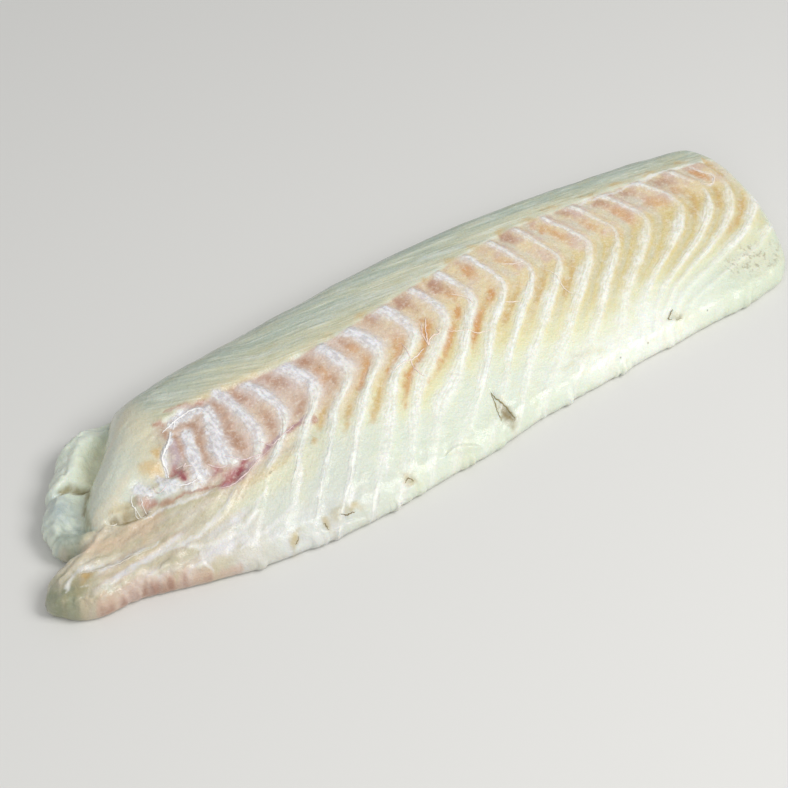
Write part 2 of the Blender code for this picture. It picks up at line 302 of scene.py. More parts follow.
# %% The flake count
FLAKE_LENGTH = 14.65
SHEET_POINTS = [
    (-160.0, -12.0), (-105.0, -8.0), (-90.0, -7.0), (-76.5, -6.0), (-63.5, -5.0), (-47.5, -4.0),
    (-31.8, -3.0), (-17.4, -2.0), (-0.8, -1.0), (14.3, 0.0), (27.8, 1.0), (43.0, 2.0), (56.3, 3.0),
    (69.9, 4.0), (85.0, 5.0), (99.0, 6.0), (114.2, 7.0), (131.7, 8.0), (146.5, 9.0), (157.5, 10.0),
    (190.0, 12.2),
]
POINT_LINE = [
    (-120, -14.8), (-90, -12.5), (-75, -9.5), (-60, -4.0), (-45, -1.0), (-30, 0.8), (-20, 1.5),
    (20, 5.2), (60, 6.7), (100, 8.2), (150, 10.2),
]
POINT_ROUND = 5.0
ARM_LEAN = [
    (-110, 0.05), (-80, 0.15), (-66, 0.40), (-50, 0.55), (-30, 0.55), (0, 0.48), (60, 0.45),
    (140, 0.50), (155, 0.30),
]
LEG_LEAN = [(-60, 1.05), (-10, 1.05), (15, 1.15), (80, 1.15), (105, 1.10), (125, 1.05), (150, 0.75)]
LEG_STEP = [
    (-90, 9.0), (-66, 6.5), (-56, 4.5), (-45, 5.5), (-30, 4.5), (-22, 7.0), (-14, 8.5), (-6, 6.0),
    (2, 2.0), (35, 2.0), (50, 1.0), (90, 0.5), (110, 0.0),
]
LEG_STEP_FROM = (-2.0, -14.0)
LEG_CURL = [(60, 0.002), (80, 0.006), (93, 0.025), (106, 0.040), (123, 0.036), (150, 0.030)]
LEG_CURL_FROM = -8.0
BAND_TOP = [
    (-110, 12.5), (-100, 14.0), (-75, 14.3), (-50, 13.8), (-30, 15.3), (-10, 18.7), (15, 23.0),
    (40, 27.2), (60, 29.5), (90, 29.4), (120, 28.6), (152, 26.8), (165, 25.0),
]
BAND_BOTTOM = [(-125, -13.5), (-95, -19.5), (-75, -19.5), (-50, -17.0), (-30, -16.0), (160, -15.0)]
BAND_ENDS = (-117.0, -104.0)
WANDER, WANDER_BUMPS = 0.07, (8.0, 31)       # of a flake, and bumps: size and seed


def flake_count(x, y):
    """Whole on each white sheet, and growing by one over each flake towards the tail."""
    below = y - through(POINT_LINE, x)
    arm, leg = through(ARM_LEAN, x), through(LEG_LEAN, x)
    bend = np.sqrt(below**2 + POINT_ROUND**2) - POINT_ROUND
    along_band = x + (leg + arm) / 2 * bend - (leg - arm) / 2 * below
    along_band = along_band + through(LEG_STEP, x) * smooth_step(*LEG_STEP_FROM, below)
    along_band = along_band + through(LEG_CURL, x) * np.maximum(LEG_CURL_FROM - below, 0.0) ** 2
    return through(SHEET_POINTS, along_band) + WANDER * grown(x, y, *WANDER_BUMPS)


# %% [markdown]
# ## Marks
#
# Threads, cracks, folds and stains each lie on a short line or in a small patch. For each one the mesh
# stores how near a place is: 1 on the middle of the mark, 0 at its rim and down to -1 outside. A
# shader can cut such a slope anywhere, so the rim stays crisp even where the mesh is coarser than it.

# %% How near a mark is
LINE_STEPS = 7
FAR = -1.0
TAPER = 0.35     # of a line's width, at both of its ends


def line_mark(points, half_width, x, y):
    """Nearness to a smooth line, whose width narrows at both ends."""
    near = np.full(x.shape, FAR)
    line = along(points, np.linspace(0.0, 1.0, LINE_STEPS * (len(points) - 1) + 1))
    low, high = line.min(axis=0) - 2 * half_width, line.max(axis=0) + 2 * half_width
    close = (x > low[0]) & (x < high[0]) & (y > low[1]) & (y < high[1])
    if not close.any():
        return near
    px, py = x[close], y[close]
    best = np.full(px.shape, FAR)
    for k, (start, end) in enumerate(zip(line[:-1], line[1:])):
        side = end - start
        share = np.clip(((px - start[0]) * side[0] + (py - start[1]) * side[1]) / (side @ side), 0.0, 1.0)
        gap = np.hypot(px - start[0] - share * side[0], py - start[1] - share * side[1])
        reached = (k + share) / (len(line) - 1)
        width = half_width * (TAPER + (1 - TAPER) * np.sqrt(np.sin(np.pi * reached).clip(0.0, 1.0)))
        best = np.maximum(best, 1.0 - gap / width)
    near[close] = best
    return near


def patch_mark(centre, radii, turn, x, y):
    """Nearness to the middle of an oval patch that is turned by some degrees."""
    cos, sin = np.cos(np.radians(turn)), np.sin(np.radians(turn))
    dx, dy = x - centre[0], y - centre[1]
    a, b = (dx * cos + dy * sin) / radii[0], (dy * cos - dx * sin) / radii[1]
    return np.maximum(FAR, 1.0 - np.hypot(a, b))


def any_mark(marks, x, y):
    """Nearness to the nearest of several marks.

    A line is its points and half its width. A patch is its centre, its radii and its turn.
    """
    near = np.full(x.shape, FAR)
    for mark in marks:
        one = line_mark(*mark, x, y) if len(mark) == 2 else patch_mark(*mark, x, y)
        near = np.maximum(near, one)
    return near


# %% [markdown]
# ## The head end's folds
#
# Behind the nose the lobe lies in three soft steps, each overlapping the next, and a deep crease parts
# it from the nose. The flap has a sharp upper edge with a dark cut above it. Each fold is one raised or
# sunk mark, in the way that a sculptor adds a strip of clay or presses a tool along a line.

# %% Folds: a mark, and how far it is raised or sunk
FOLD_RIM = (-0.25, 1.0)
FOLDS = [
    # the crest of the upper lobe, and the slope between it and the nose
    (([(-113.5, 37.6), (-118.2, 35.6), (-125.0, 32.1), (-129.4, 28.4), (-132.6, 24.6),
       (-137.3, 21.5)], 3.6), 1.6),
    (([(-116.0, 31.5), (-121.4, 28.2), (-126.9, 23.5), (-131.4, 19.4)], 3.4), -0.4),
    # ledge under the upper lobe
    (([(-146.0, 16.2), (-143.6, 16.6), (-139.7, 17.4), (-137.3, 16.7), (-132.3, 16.2)], 1.8), -2.0),
    (((-141.0, 20.6), (5.5, 2.6), 10.0), 0.9),
    # the second and third lumps, with a soft step between
    (((-146.0, 9.5), (8.0, 6.5), 70.0), 0.6),
    (([(-152.4, 0.4), (-147.5, 2.5), (-143.6, 1.8)], 1.3), -0.9),
    (((-148.5, -4.0), (6.5, 4.5), 0.0), 1.2),
    # groove round the nose's foot
    (([(-118.8, 26.5), (-125.5, 19.6), (-134.0, 12.0), (-139.4, 5.0), (-142.6, -1.5),
       (-143.6, -6.5)], 1.8), -0.6),
    # notch between lobe and flap, with the flap's edge above it
    (((-152.5, -10.0), (6.0, 4.0), 10.0), -2.5),
    (([(-138.5, -9.2), (-141.4, -10.0), (-145.3, -12.2), (-149.3, -15.0), (-153.8, -17.4),
       (-158.8, -18.4), (-163.0, -19.0)], 1.8), 0.9),
    # the cut between nose and flap
    (([(-137.8, -7.6), (-134.0, -9.9), (-130.4, -10.8), (-126.6, -11.6), (-124.0, -12.3)], 1.7), -2.4),
    (([(-136.6, -10.8), (-133.0, -12.7), (-129.0, -13.7), (-124.0, -14.8)], 1.6), 0.8),
    # the flap's folds
    (([(-162.2, -22.5), (-157.8, -20.9), (-153.4, -19.9), (-147.0, -19.4)], 1.6), 0.6),
    (([(-157.2, -21.4), (-146.7, -25.3), (-133.9, -25.2), (-116.9, -26.9), (-104.7, -28.6),
       (-94.6, -23.1)], 1.9), 0.55),
    (([(-131.1, -33.9), (-123.7, -31.5), (-110.7, -33.3), (-96.6, -33.5), (-91.6, -32.0)], 1.8), 0.45),
    (((-155.0, -26.5), (9.0, 4.0), 15.0), 0.8),
    (((-146.0, -22.4), (9.0, 2.0), -5.0), -0.6),
    # folds of the nose
    (((-129.5, -6.2), (4.6, 2.6), -10.0), -0.9),
    (((-122.0, -4.0), (5.0, 3.4), -30.0), -0.5),
]
SLIT = [
    (([(10.9, -29.7), (9.9, -33.0), (8.5, -36.3), (6.0, -41.5)], 1.6), -0.7),
    (([(10.9, -29.7), (11.2, -33.5), (11.6, -37.0), (13.0, -42.0)], 1.6), -0.9),
    (((9.9, -38.0), (3.2, 6.0), 0.0), -0.7),
]
EDGE_TEARS = [
    (([(-74.0, -46.6), (-69.5, -48.4), (-64.5, -47.8), (-60.0, -48.6), (-56.5, -49.4)], 0.9), -1.3),
    (([(-64.9, -46.9), (-61.5, -46.6)], 1.0), -1.0),
    (((-36.4, -46.2), (2.6, 1.6), 10.0), -1.4),
    (([(-85.0, -47.2), (-82.0, -46.6)], 0.9), -0.9),
    (((-67.0, -46.0), (6.0, 2.6), -5.0), 0.8),
    (([(95.6, -30.4), (93.1, -32.3), (95.2, -33.0), (97.8, -34.0)], 1.5), -0.7),
    (([(-18.4, -44.0), (-14.9, -43.6), (-9.1, -44.6), (-5.0, -45.6)], 1.3), 0.9),
]


def folds_height(folds, x, y):
    """Summed heights of raised and sunk marks, each with a soft rim."""
    height = np.zeros(x.shape)
    for mark, rise in folds:
        height += rise * smooth_step(*FOLD_RIM, any_mark([mark], x, y))
    return height


# %% [markdown]
# ## Relief of the cut face
#
# A flake swells slowly towards the tail and ends at its white sheet with a small step down, like roof
# tiles. Behind the nose the dark band has sunk a little between its sheets. Long streaks run along the
# back strip, and the torn belly edge is lumpier. No flake is as high as the next.

# %% Relief
FLAKE_RELIEF = 0.75
FLAKE_UNEVEN, FLAKE_UNEVEN_BUMPS = 0.55, (12.0, 33, 2)
FLANK_RELIEF_SHARE = 0.40
SHEET_DROP = (0.06, 0.26)
FLAKE_RISE, FLAKE_RISE_POWER = (0.30, 0.98), 1.5
BAND_EDGE = 3.0
BLOOD_BAND_SINK = 1.3
BLOOD_BAND_TO = (-30.0, -60.0)
LUMPS = 5.5
LUMPY_BELOW = (-24.0, -38.0)
EDGE_CALM = 1.2
WALL_CALM = 3.0
STRIP_TURN = -58.0
WALL_RIM = (1.0, 5.0)
STRIP_LEAN, STRIP_LEAN_HEAD = 0.06, 0.33
NOSE_SLANT, FLAP_SLANT = (0.6, 0.6), (1.0, 0.12)


def band_zone(x, y):
    """Shares of being under the band's top line, over its bottom line and behind the nose."""
    top, bottom = through(BAND_TOP, x), through(BAND_BOTTOM, x)
    under_top = smooth_step(top + BAND_EDGE / 2, top - BAND_EDGE / 2, y)
    over_bottom = smooth_step(bottom - BAND_EDGE, bottom + BAND_EDGE, y)
    return under_top, over_bottom, smooth_step(*BAND_ENDS, x)


def flake_relief(x, y, count):
    """The stepped flakes and the sunk blood band."""
    share = count - np.floor(count)
    rise = smooth_step(*FLAKE_RISE, share) ** FLAKE_RISE_POWER
    step = np.maximum(1 - smooth_step(*SHEET_DROP, share), rise)
    under_top, over_bottom, past_nose = band_zone(x, y)
    band = FLANK_RELIEF_SHARE + (1 - FLANK_RELIEF_SHARE) * over_bottom
    band = band * (1 + FLAKE_UNEVEN * grown(x, y, *FLAKE_UNEVEN_BUMPS))
    sink = BLOOD_BAND_SINK * under_top * over_bottom * smooth_step(*BLOOD_BAND_TO, x)
    return past_nose * (FLAKE_RELIEF * band * under_top * (step - 0.5) - sink)


def across_strip(x, y):
    """Distance across the strip's own fibres, which leave the band and slant back to the rim."""
    return y + STRIP_LEAN * x + STRIP_LEAN_HEAD * np.minimum(x - STRIP_TURN, 0.0)


def off_wall(x, y):
    """1 on the face and 0 on the steep back wall, which has its streaks from the material alone."""
    return smooth_step(*WALL_RIM, through(BACK_EDGE, x) - y)


def strip_streaks(x, y, length, width, seed):
    """Random streaks along the strip's fibres."""
    return bumps(x / length, across_strip(x, y) / width, 1.0, seed)


def streaks_of(x, y, length, width, slant, seed):
    """Random streaks along a slanted line: its slant in both measures, and the streaks' sizes."""
    return bumps((x + slant[0] * y) / length, (y - slant[1] * x) / width, 1.0, seed)


def fine_relief(x, y, count, to_edge):
    """Streaks, lumps and wrinkles, laid on along the surface's normal."""
    under_top, over_bottom, past_nose = band_zone(x, y)
    on_face = smooth_step(0.0, WALL_CALM, to_edge)
    lobe = smooth_step(1.0, -3.0, depth_in_nose(x, y)) * smooth_step(-110.0, -118.0, x) * on_face
    flap_edge = smooth_step(9.0, 2.0, y - through(BELLY_EDGE, x)) * smooth_step(-118.0, -130.0, x) * on_face
    corner = smooth_step(118.0, 132.0, x) * smooth_step(-8.0, -20.0, y)
    nose = smooth_step(-96.0, -108.0, x) * smooth_step(-10.0, -6.0, y)
    flap = smooth_step(-90.0, -110.0, x) * smooth_step(-10.0, -14.0, y)
    blood = under_top * over_bottom * smooth_step(-55.0, -75.0, x) * past_nose
    fibres = bumps(count * FLAKE_LENGTH / 8.0, (y + 0.10 * x) / 1.1, 1.0, 41)
    # how high in mm, where, and the random shape
    layers = [
        (0.035, 1.0, fibres),
        (0.11, (1 - under_top) * off_wall(x, y), strip_streaks(x, y, 24.0, 1.9, 43)),
        (0.42, smooth_step(*LUMPY_BELOW, y), grown(x, y, LUMPS, 47, 4)),
        (0.28, 1.0, grown(x, y, 13.0, 53, 3)),
        (0.95, lobe, grown(x, y, 7.0, 61, 4)),
        (0.45, lobe, grown(x, y, 2.8, 63, 2)),
        (0.70, flap_edge, grown(x, y, 2.1, 65, 2)),
        (0.30, corner, grown(x, y, 2.4, 67, 3)),
        (0.14, nose, streaks_of(x, y, 14.0, 2.0, NOSE_SLANT, 69)),
        (0.20, flap, streaks_of(x, y, 18.0, 1.8, FLAP_SLANT, 81)),
        (0.45, blood, grown(x, y * 1.6, 3.4, 59)),
    ]
    height = sum(high * where * shape for high, where, shape in layers)
    return height * smooth_step(0.0, EDGE_CALM, to_edge)


# %% [markdown]
# ## The fine skin
#
# Two grids, one for the upper face and a coarser one for the underside, take the place of the solid's
# two sheets and meet on its widest line. A grid operator makes the faces; the script only says where
# each vertex goes. The coarse grid's rim edges are split once, so that both rims match. The printed
# count of open edges isn't zero: along the tail's rim rounding keeps the two grids about a hundredth of
# a millimetre apart.

# %% Lay out the two grids
TOP_CELLS = (440, 168)
COLUMN_SHARES = ((0.0, 0.055, 0.950, 1.0), (0.0, 0.036, 0.966, 1.0))
ROW_SHARES = ((0.0, 0.125, 0.775, 1.0), (0.0, 0.070, 0.800, 1.0))
MERGE_DISTANCE = 0.0005


def grid_shares(flat):
    """Shares along the length and across the width for flat grid positions from 0 to 1."""
    return np.interp(flat[..., 0], *COLUMN_SHARES), np.interp(flat[..., 1], *ROW_SHARES)


def upper_height(x, y, u, v):
    """Height of the upper face over the table, without its fine relief."""
    to_belly, to_back, to_head, to_tail = edge_distances(u, v)
    body = body_height(x, y, to_back)
    depth = depth_in_nose(x, y)
    low = head_forms_height(x, y, body, depth)
    height = low + (body - low) * round_over(depth / NOSE_ROUND, NOSE_FULLNESS)
    height = height + flake_relief(x, y, flake_count(x, y))
    height = height + folds_height(FOLDS + SLIT + EDGE_TEARS, x, y)
    edge = round_over(to_belly / BELLY_ROUND) * round_over(to_back / BACK_ROUND)
    edge = edge * round_over(to_head / HEAD_ROUND) * round_over(to_tail / TAIL_ROUND)
    widest = widest_height(v)
    return widest + (height - widest) * edge


def upper_places(u, v):
    """Where the points of the upper face lie, for a whole grid of shares."""
    x, y = np.moveaxis(outline_place(u, v), -1, 0)
    places = np.stack([x, y, upper_height(x, y, u, v)], axis=-1)
    normal = np.cross(np.gradient(places, axis=0), np.gradient(places, axis=1))
    normal /= np.linalg.norm(normal, axis=-1, keepdims=True)
    to_edge = np.minimum.reduce(edge_distances(u, v))
    return places + normal * fine_relief(x, y, flake_count(x, y), to_edge)[..., None]


def under_places(u, v):
    """Where the points of the underside lie: flat, with a round rim up to the widest line."""
    edge = np.ones_like(u)
    for distance in edge_distances(u, v):
        edge = edge * round_over(distance / UNDER_ROUND)
    return np.concatenate([outline_place(u, v), (widest_height(v) * (1 - edge))[..., None]], axis=-1)


def flat_positions(verts):
    """Flat grid positions of new vertices, from 0 to 1."""
    return np.array([vert.co[:2] for vert in verts]) + 0.5


bm = bmesh.new()
place_number = bm.verts.layers.int.new("place_number")
bmesh.ops.create_grid(bm, x_segments=TOP_CELLS[0] // 2, y_segments=TOP_CELLS[1] // 2, size=0.5)
rim = [edge for edge in bm.edges if edge.is_boundary]
bmesh.ops.subdivide_edges(bm, edges=rim, cuts=1)
bmesh.ops.reverse_faces(bm, faces=bm.faces[:])
bottom = bm.verts[:]
bottom_flat = flat_positions(bottom)
for number, (vert, place) in enumerate(zip(bottom, under_places(*grid_shares(bottom_flat)))):
    vert.co = place
    vert[place_number] = number

top = bmesh.ops.create_grid(bm, x_segments=TOP_CELLS[0], y_segments=TOP_CELLS[1], size=0.5)["verts"]
top_flat = flat_positions(top)
top_steps = np.rint(top_flat * TOP_CELLS).astype(int)
grid_lines = [np.linspace(0.0, 1.0, cells + 1) for cells in TOP_CELLS]
grid_flat = np.stack(np.meshgrid(*grid_lines, indexing="ij"), axis=-1)
top_places = upper_places(*grid_shares(grid_flat))[top_steps[:, 0], top_steps[:, 1]]
for number, (vert, place) in enumerate(zip(top, top_places), start=len(bottom_flat)):
    vert.co = place
    vert[place_number] = number
flat_all = np.vstack([bottom_flat, top_flat])
skinned_side = np.concatenate([np.ones(len(bottom_flat)), np.zeros(len(top_flat))])
print("underside vertices", len(bottom_flat), "upper vertices", len(top_flat))

# %% Join them, and centre them on the solid
bmesh.ops.remove_doubles(bm, verts=bm.verts[:], dist=MERGE_DISTANCE)
open_edges = sum(edge.is_boundary for edge in bm.edges)
flesh_mesh = bpy.data.meshes.new("cod_flesh")
bm.to_mesh(flesh_mesh)
bm.free()
flesh_mesh.shade_smooth()
positions = np.empty(len(flesh_mesh.vertices) * 3)
flesh_mesh.vertices.foreach_get("co", positions)
positions = positions.reshape(-1, 3)
rim_u, rim_v = grid_shares(flat_all[np.isclose(np.abs(flat_all - 0.5).max(axis=1), 0.5)])
rim_places = outline_place(rim_u, rim_v)
plan_centre = (rim_places.min(axis=0) + rim_places.max(axis=0)) / 2
solid_centre = np.array((solid_low + solid_high) / 2)[:2] / MM
to_solid = np.append(solid_centre - plan_centre, 0.0)
flesh_mesh.vertices.foreach_set("co", ((positions + to_solid) * MM).ravel())
flesh_mesh.update()
print("open edges", open_edges, "triangles", sum(len(p.vertices) - 2 for p in flesh_mesh.polygons))
box = positions.min(axis=0).round(1), positions.max(axis=0).round(1)
print("moved onto the solid by mm", to_solid.round(2), "box", *box)

# %% [markdown]
# ## Colours of raw cod
#
# Fresh cod muscle is clear rather than white: it is straw and cream on the flank, tan to rosy brown in
# the dark band, and grey-green where it is thin. Each colour is named once here, as a hex value from a
# colour picker, and one function turns it to the linear light values that the renderer works in.

# %% Paints
def linear(hex_colour):
    """Linear colour of an sRGB hex value."""
    parts = np.array([int(hex_colour[k:k + 2], 16) / 255 for k in (1, 3, 5)])
    low, high = parts / 12.92, ((parts + 0.055) / 1.055) ** 2.4
    return (*np.where(parts <= 0.04045, low, high), 1.0)


PAINTS = {
    "flank": "#eff3e8", "mid_flank": "#dde4d4", "cream": "#d4d8cb", "flank_vein": "#dfdcb8",
    "lilac_white": "#dedede", "rosy_muscle": "#d6c0b4", "tan_muscle": "#dcc8ae",
    "golden_muscle": "#e5d5ab", "orange_muscle": "#d19c62", "straw_muscle": "#e6ddaa",
    "pale_straw": "#e6e7c3", "brown_muscle": "#bb957c", "lilac_muscle": "#c0acb2",
    "flesh_pink": "#d8c2bb", "strip_cream": "#cbcbb1", "strip_green_and_shade": "#b2bdae",
    "strip_rim_and_shade": "#a9b5a5", "strip_olive": "#b5b48f", "ochre": "#d0ae6e", "edge_gold": "#bda867",
    "strip_white": "#d3d6c8", "nose": "#d4d8c8", "nose_cream": "#ddd9c4", "nose_tan_and_lip_shade": "#d8cba6",
    "lobe": "#dbe3d4", "lobe_slope": "#dfe1c8", "lobe_blue": "#a9b6b5", "lobe_grey": "#99a698",
    "lobe_fold_shadow": "#93865a", "flap": "#cbc1ac", "peach": "#d6bfa4", "flap_green": "#bdb890",
    "flap_lilac": "#e3e1e3", "flap_olive": "#bcb594", "tip_green": "#92977c", "tip_olive": "#aaa27c",
    "low_pink": "#cfb29f", "low_brown_and_shade": "#9a6c58", "red": "#b0646a", "dark_red": "#93424c",
    "brown_red": "#b27a66", "purple": "#b08c97", "cut_shade_and_brown": "#8b7544", "leg_white": "#eef0e4",
    "tail_green": "#d6dfc9", "tail_gold": "#d5c27e", "green_haze": "#d3d5c2", "dab_gold": "#c9ad76",
    "corner_cream": "#dddbc0", "wall": "#d2d6c6", "skin_side": "#cfd1c6", "skin_grey": "#b9bcb4",
}


def lay(under, name, mask):
    """A named paint laid over what is under it, as thick as the mask says."""
    mask = np.clip(mask, 0.0, 1.0)[:, None]
    return under * (1.0 - mask) + np.array(linear(PAINTS[name])) * mask


# %% [markdown]
# ## Stains and patches of muscle
#
# Behind the nose the regular flakes break up: blood stains, brown muscle and white connective tissue
# lie criss-cross. Further on, each flake has a brown patch under the band's top and an orange one just
# below its point. Each is one mark in a paint, laid in this order, as a painter works from broad to
# fine. A few marks are painted shade: in the lobe's ledge and crease, under the nose's lip, in the cut
# below it and along the flap's lower rim.

# %% Painted marks: paint, thickness, marks
PAINTED_MARKS = [
    # lobe
    ("lobe_slope", 0.95, [
        ([(-114.0, 33.0), (-118.4, 29.2), (-124.2, 24.7), (-130.3, 18.9), (-134.5, 13.0)], 5.2),
        ([(-135.0, 12.0), (-139.8, 5.0), (-142.6, -3.0), (-143.3, -8.0)], 1.8),
    ]),
    ("lobe_blue", 0.85, [((-148.0, 9.0), (10.0, 8.0), 70.0)]),
    ("lobe_grey", 0.85, [((-149.5, -4.5), (8.0, 7.0), 0.0)]),
    # painted shadow under the upper lobe's overhanging ledge, and painted shade along the crease between
    # lobe and nose
    ("lobe_fold_shadow", 0.85, [([(-143.6, 17.2), (-139.7, 17.6), (-136.3, 16.6), (-132.8, 16.2)], 1.7)]),
    ("lobe_fold_shadow", 0.65, [([(-134.1, 14.9), (-137.8, 8.6), (-140.7, 2.7), (-142.4, -5.3)], 1.3)]),
    # flap
    ("flap_green", 0.5, [
        ([(-148.0, -19.0), (-140.6, -19.8), (-131.2, -20.2), (-123.2, -20.4), (-115.2, -21.2)], 2.4),
        ([(-127.0, -15.5), (-119.0, -17.0), (-110.0, -19.0), (-101.0, -21.5)], 1.8),
    ]),
    ("flap_olive", 0.60, [((-128.0, -32.6), (9.0, 2.8), -12.0), ((-117.0, -33.6), (6.0, 1.8), -10.0)]),
    ("flap_lilac", 0.75, [((-108.0, -37.6), (10.0, 2.4), -8.0), ((-99.0, -31.5), (6.0, 1.6), 10.0)]),
    ("cream", 0.60, [((-150.5, -31.0), (3.2, 1.2), -10.0), ((-153.5, -28.0), (3.0, 1.0), 20.0)]),
    ("peach", 0.8, [([(-149.0, -13.4), (-140.0, -15.8), (-131.0, -16.8), (-121.0, -16.4)], 5.5)]),
    ("tip_olive", 0.9, [((-161.0, -25.5), (11.0, 9.0), 10.0)]),
    ("tip_green", 0.9, [((-168.0, -23.0), (8.0, 10.0), 10.0), ((-163.5, -30.0), (6.0, 5.0), 0.0)]),
    ("low_pink", 0.75, [
        ([(-156.0, -33.4), (-150.0, -34.4), (-140.0, -35.4), (-130.0, -38.4), (-118.0, -41.8),
          (-106.0, -44.8)], 2.7),
    ]),
    # brown along the flap's lower rim: partly the rim's own red-brown, partly painted shade of the edge
    # that curves under
    ("low_brown_and_shade", 0.7, [
        ([(-157.0, -34.2), (-148.0, -35.6), (-140.0, -36.0), (-130.0, -38.8), (-121.0, -41.4),
          (-112.0, -44.2)], 1.5),
    ]),
    # patches of muscle in the blood area
    ("lilac_muscle", 0.9, [([(-103.4, 3.8), (-104.4, 0.0), (-106.6, -2.4)], 4.4)]),
    ("brown_muscle", 0.85, [
        ([(-95.2, 9.1), (-93.4, 5.4), (-94.6, -0.2), (-96.0, -4.8), (-95.4, -9.3)], 2.7),
        ([(-82.3, 10.5), (-82.9, 5.0), (-85.5, -1.5), (-84.3, -6.1), (-82.9, -10.6)], 3.2),
        ([(-101.4, 6.5), (-102.6, 0.9), (-103.4, -3.1)], 1.4),
        ([(-104.0, 10.7), (-104.2, 8.1), (-105.3, 6.8)], 1.6),
        ([(-118.9, -13.2), (-116.5, -13.9), (-114.0, -14.4)], 1.9),
    ]),
    ("ochre", 0.8, [
        ((-114.6, -1.6), (3.4, 5.2), 20.0), ((-110.1, 3.9), (2.2, 3.0), 0.0),
        ((-154.6, -23.6), (2.8, 1.9), 10.0),
    ]),
    ("ochre", 0.3, [
        ([(-84.7, 14.2), (-79.6, 14.6), (-74.8, 14.4), (-68.0, 14.0), (-62.0, 14.6)], 1.5),
        ([(-92.0, -22.0), (-87.3, -22.2), (-77.6, -22.6), (-68.0, -19.5)], 1.8),
    ]),
    # blood
    ("brown_red", 0.8, [
        ([(-106.3, 14.3), (-104.3, 13.5), (-102.9, 13.1)], 1.3),
        ([(-99.5, 16.3), (-93.7, 15.6), (-89.1, 14.2), (-84.7, 13.6)], 1.2),
        ([(-113.0, -14.5), (-107.3, -15.7), (-102.2, -16.7), (-97.9, -18.7)], 1.2),
        ([(-125.2, -9.5), (-122.1, -9.9), (-120.0, -11.4)], 2.2),
        ([(-65.9, -11.8), (-62.1, -10.2), (-58.6, -11.4), (-54.1, -12.0)], 1.7),
        ([(-74.8, -13.6), (-79.2, -16.2)], 1.4),
    ]),
    ("red", 0.9, [
        ([(-108.2, -4.7), (-107.3, -9.0), (-107.3, -11.3)], 2.6), ((-96.4, -13.4), (2.6, 1.6), 0.0),
        ([(-98.5, -19.2), (-93.4, -18.1), (-90.2, -17.3), (-85.6, -15.4)], 2.8),
    ]),
    ("dark_red", 0.9, [((-90.6, -17.4), (4.0, 1.9), 18.0), ((-107.4, -9.4), (1.3, 2.4), 0.0)]),
    ("purple", 0.75, [
        ([(-98.3, -18.8), (-93.7, -20.3), (-88.5, -18.6), (-83.4, -16.9), (-75.5, -14.6),
          (-69.0, -12.4), (-62.0, -10.2), (-56.5, -9.4)], 1.1),
    ]),
    # painted shade in the cut under the nose, a brown fan in the belly edge's slit, edge stains and the
    # tail's end
    ("cut_shade_and_brown", 0.8, [([(-136.0, -7.8), (-133.7, -9.8), (-131.0, -11.0), (-127.1, -12.0)], 1.5)]),
    # painted shade under the nose's overhanging lip, just above the cut
    ("nose_tan_and_lip_shade", 0.8, [([(-134.8, -6.0), (-130.6, -7.7), (-127.4, -7.9)], 2.6)]),
    # more painted shade where the cut runs out under the nose
    ("cut_shade_and_brown", 0.45, [([(-131.0, -9.4), (-127.6, -9.6), (-125.6, -8.0)], 1.8)]),
    # darker brown in the sunk fan of the belly edge's slit
    ("cut_shade_and_brown", 0.90, [((11.6, -39.0), (3.0, 4.6), 0.0)]),
    ("corner_cream", 0.60, [((142.0, -25.0), (18.0, 10.0), -3.0)]),
    ("flap_olive", 0.6, [
        ((-66.0, -45.8), (7.0, 1.8), -5.0), ((-36.4, -45.0), (3.4, 2.2), 10.0),
        ((96.5, -33.4), (3.4, 2.0), -20.0),
        ((-83.0, -45.4), (4.0, 2.0), 15.0), ((-60.0, -46.6), (4.6, 1.6), -5.0),
    ]),
    ("edge_gold", 0.55, [
        ((-36.4, -45.6), (2.8, 1.5), 10.0), ((-59.6, -46.4), (3.0, 1.2), 0.0),
        ((-72.0, -47.0), (1.6, 2.2), 10.0), ((-84.4, -46.2), (2.6, 1.4), 30.0),
    ]),
    ("edge_gold", 0.20, [((53.0, -31.2), (7.0, 1.6), -6.0), ((44.0, -33.0), (5.0, 1.5), 10.0)]),
    ("orange_muscle", 0.8, [([(148.6, 23.2), (150.8, 19.2), (153.3, 16.2)], 2.1)]),
    ("ochre", 0.7, [([(159.4, 27.5), (159.3, 21.1), (159.4, 15.0)], 1.8)]),
]
BLOOD_THREAD = [(-102.2, 8.6), (-103.5, 6.3), (-107.1, 3.3), (-110.1, 0.5), (-110.2, -2.4), (-111.2, -5.1)]
WHITE_MARKS = [
    ([(-100.6, 11.1), (-95.1, 12.3), (-91.0, 12.2), (-87.9, 10.9), (-84.8, 11.0)], 2.1),
    (BLOOD_THREAD, 1.2),
    ([(-97.8, 6.7), (-99.1, -0.2), (-100.5, -4.7), (-101.5, -8.6), (-100.1, -11.8)], 2.8),
    ([(-85.5, 11.1), (-87.5, 4.3), (-89.8, -1.8), (-91.1, -7.1), (-90.8, -11.1), (-88.7, -13.3)], 3.4),
    ([(-114.7, -4.8), (-113.1, -8.5), (-111.3, -10.6)], 3.0),
    ([(-122.7, -3.6), (-121.6, -5.8), (-119.9, -8.0)], 2.5),
    ((-101.6, -11.9), (3.4, 2.6), -10.0), ((-106.6, -14.0), (3.2, 1.6), -8.0),
    ([(-78.4, 12.4), (-80.2, 14.2)], 2.1),
]


# %% [markdown]
# ## Patches between two sheets
#
# In the band almost every flake has a brown patch under the band's top, and many have an orange one
# below the point. They follow their flake, so their places are given in flakes along the band, and in
# millimetres above the line of points or below the band's top.

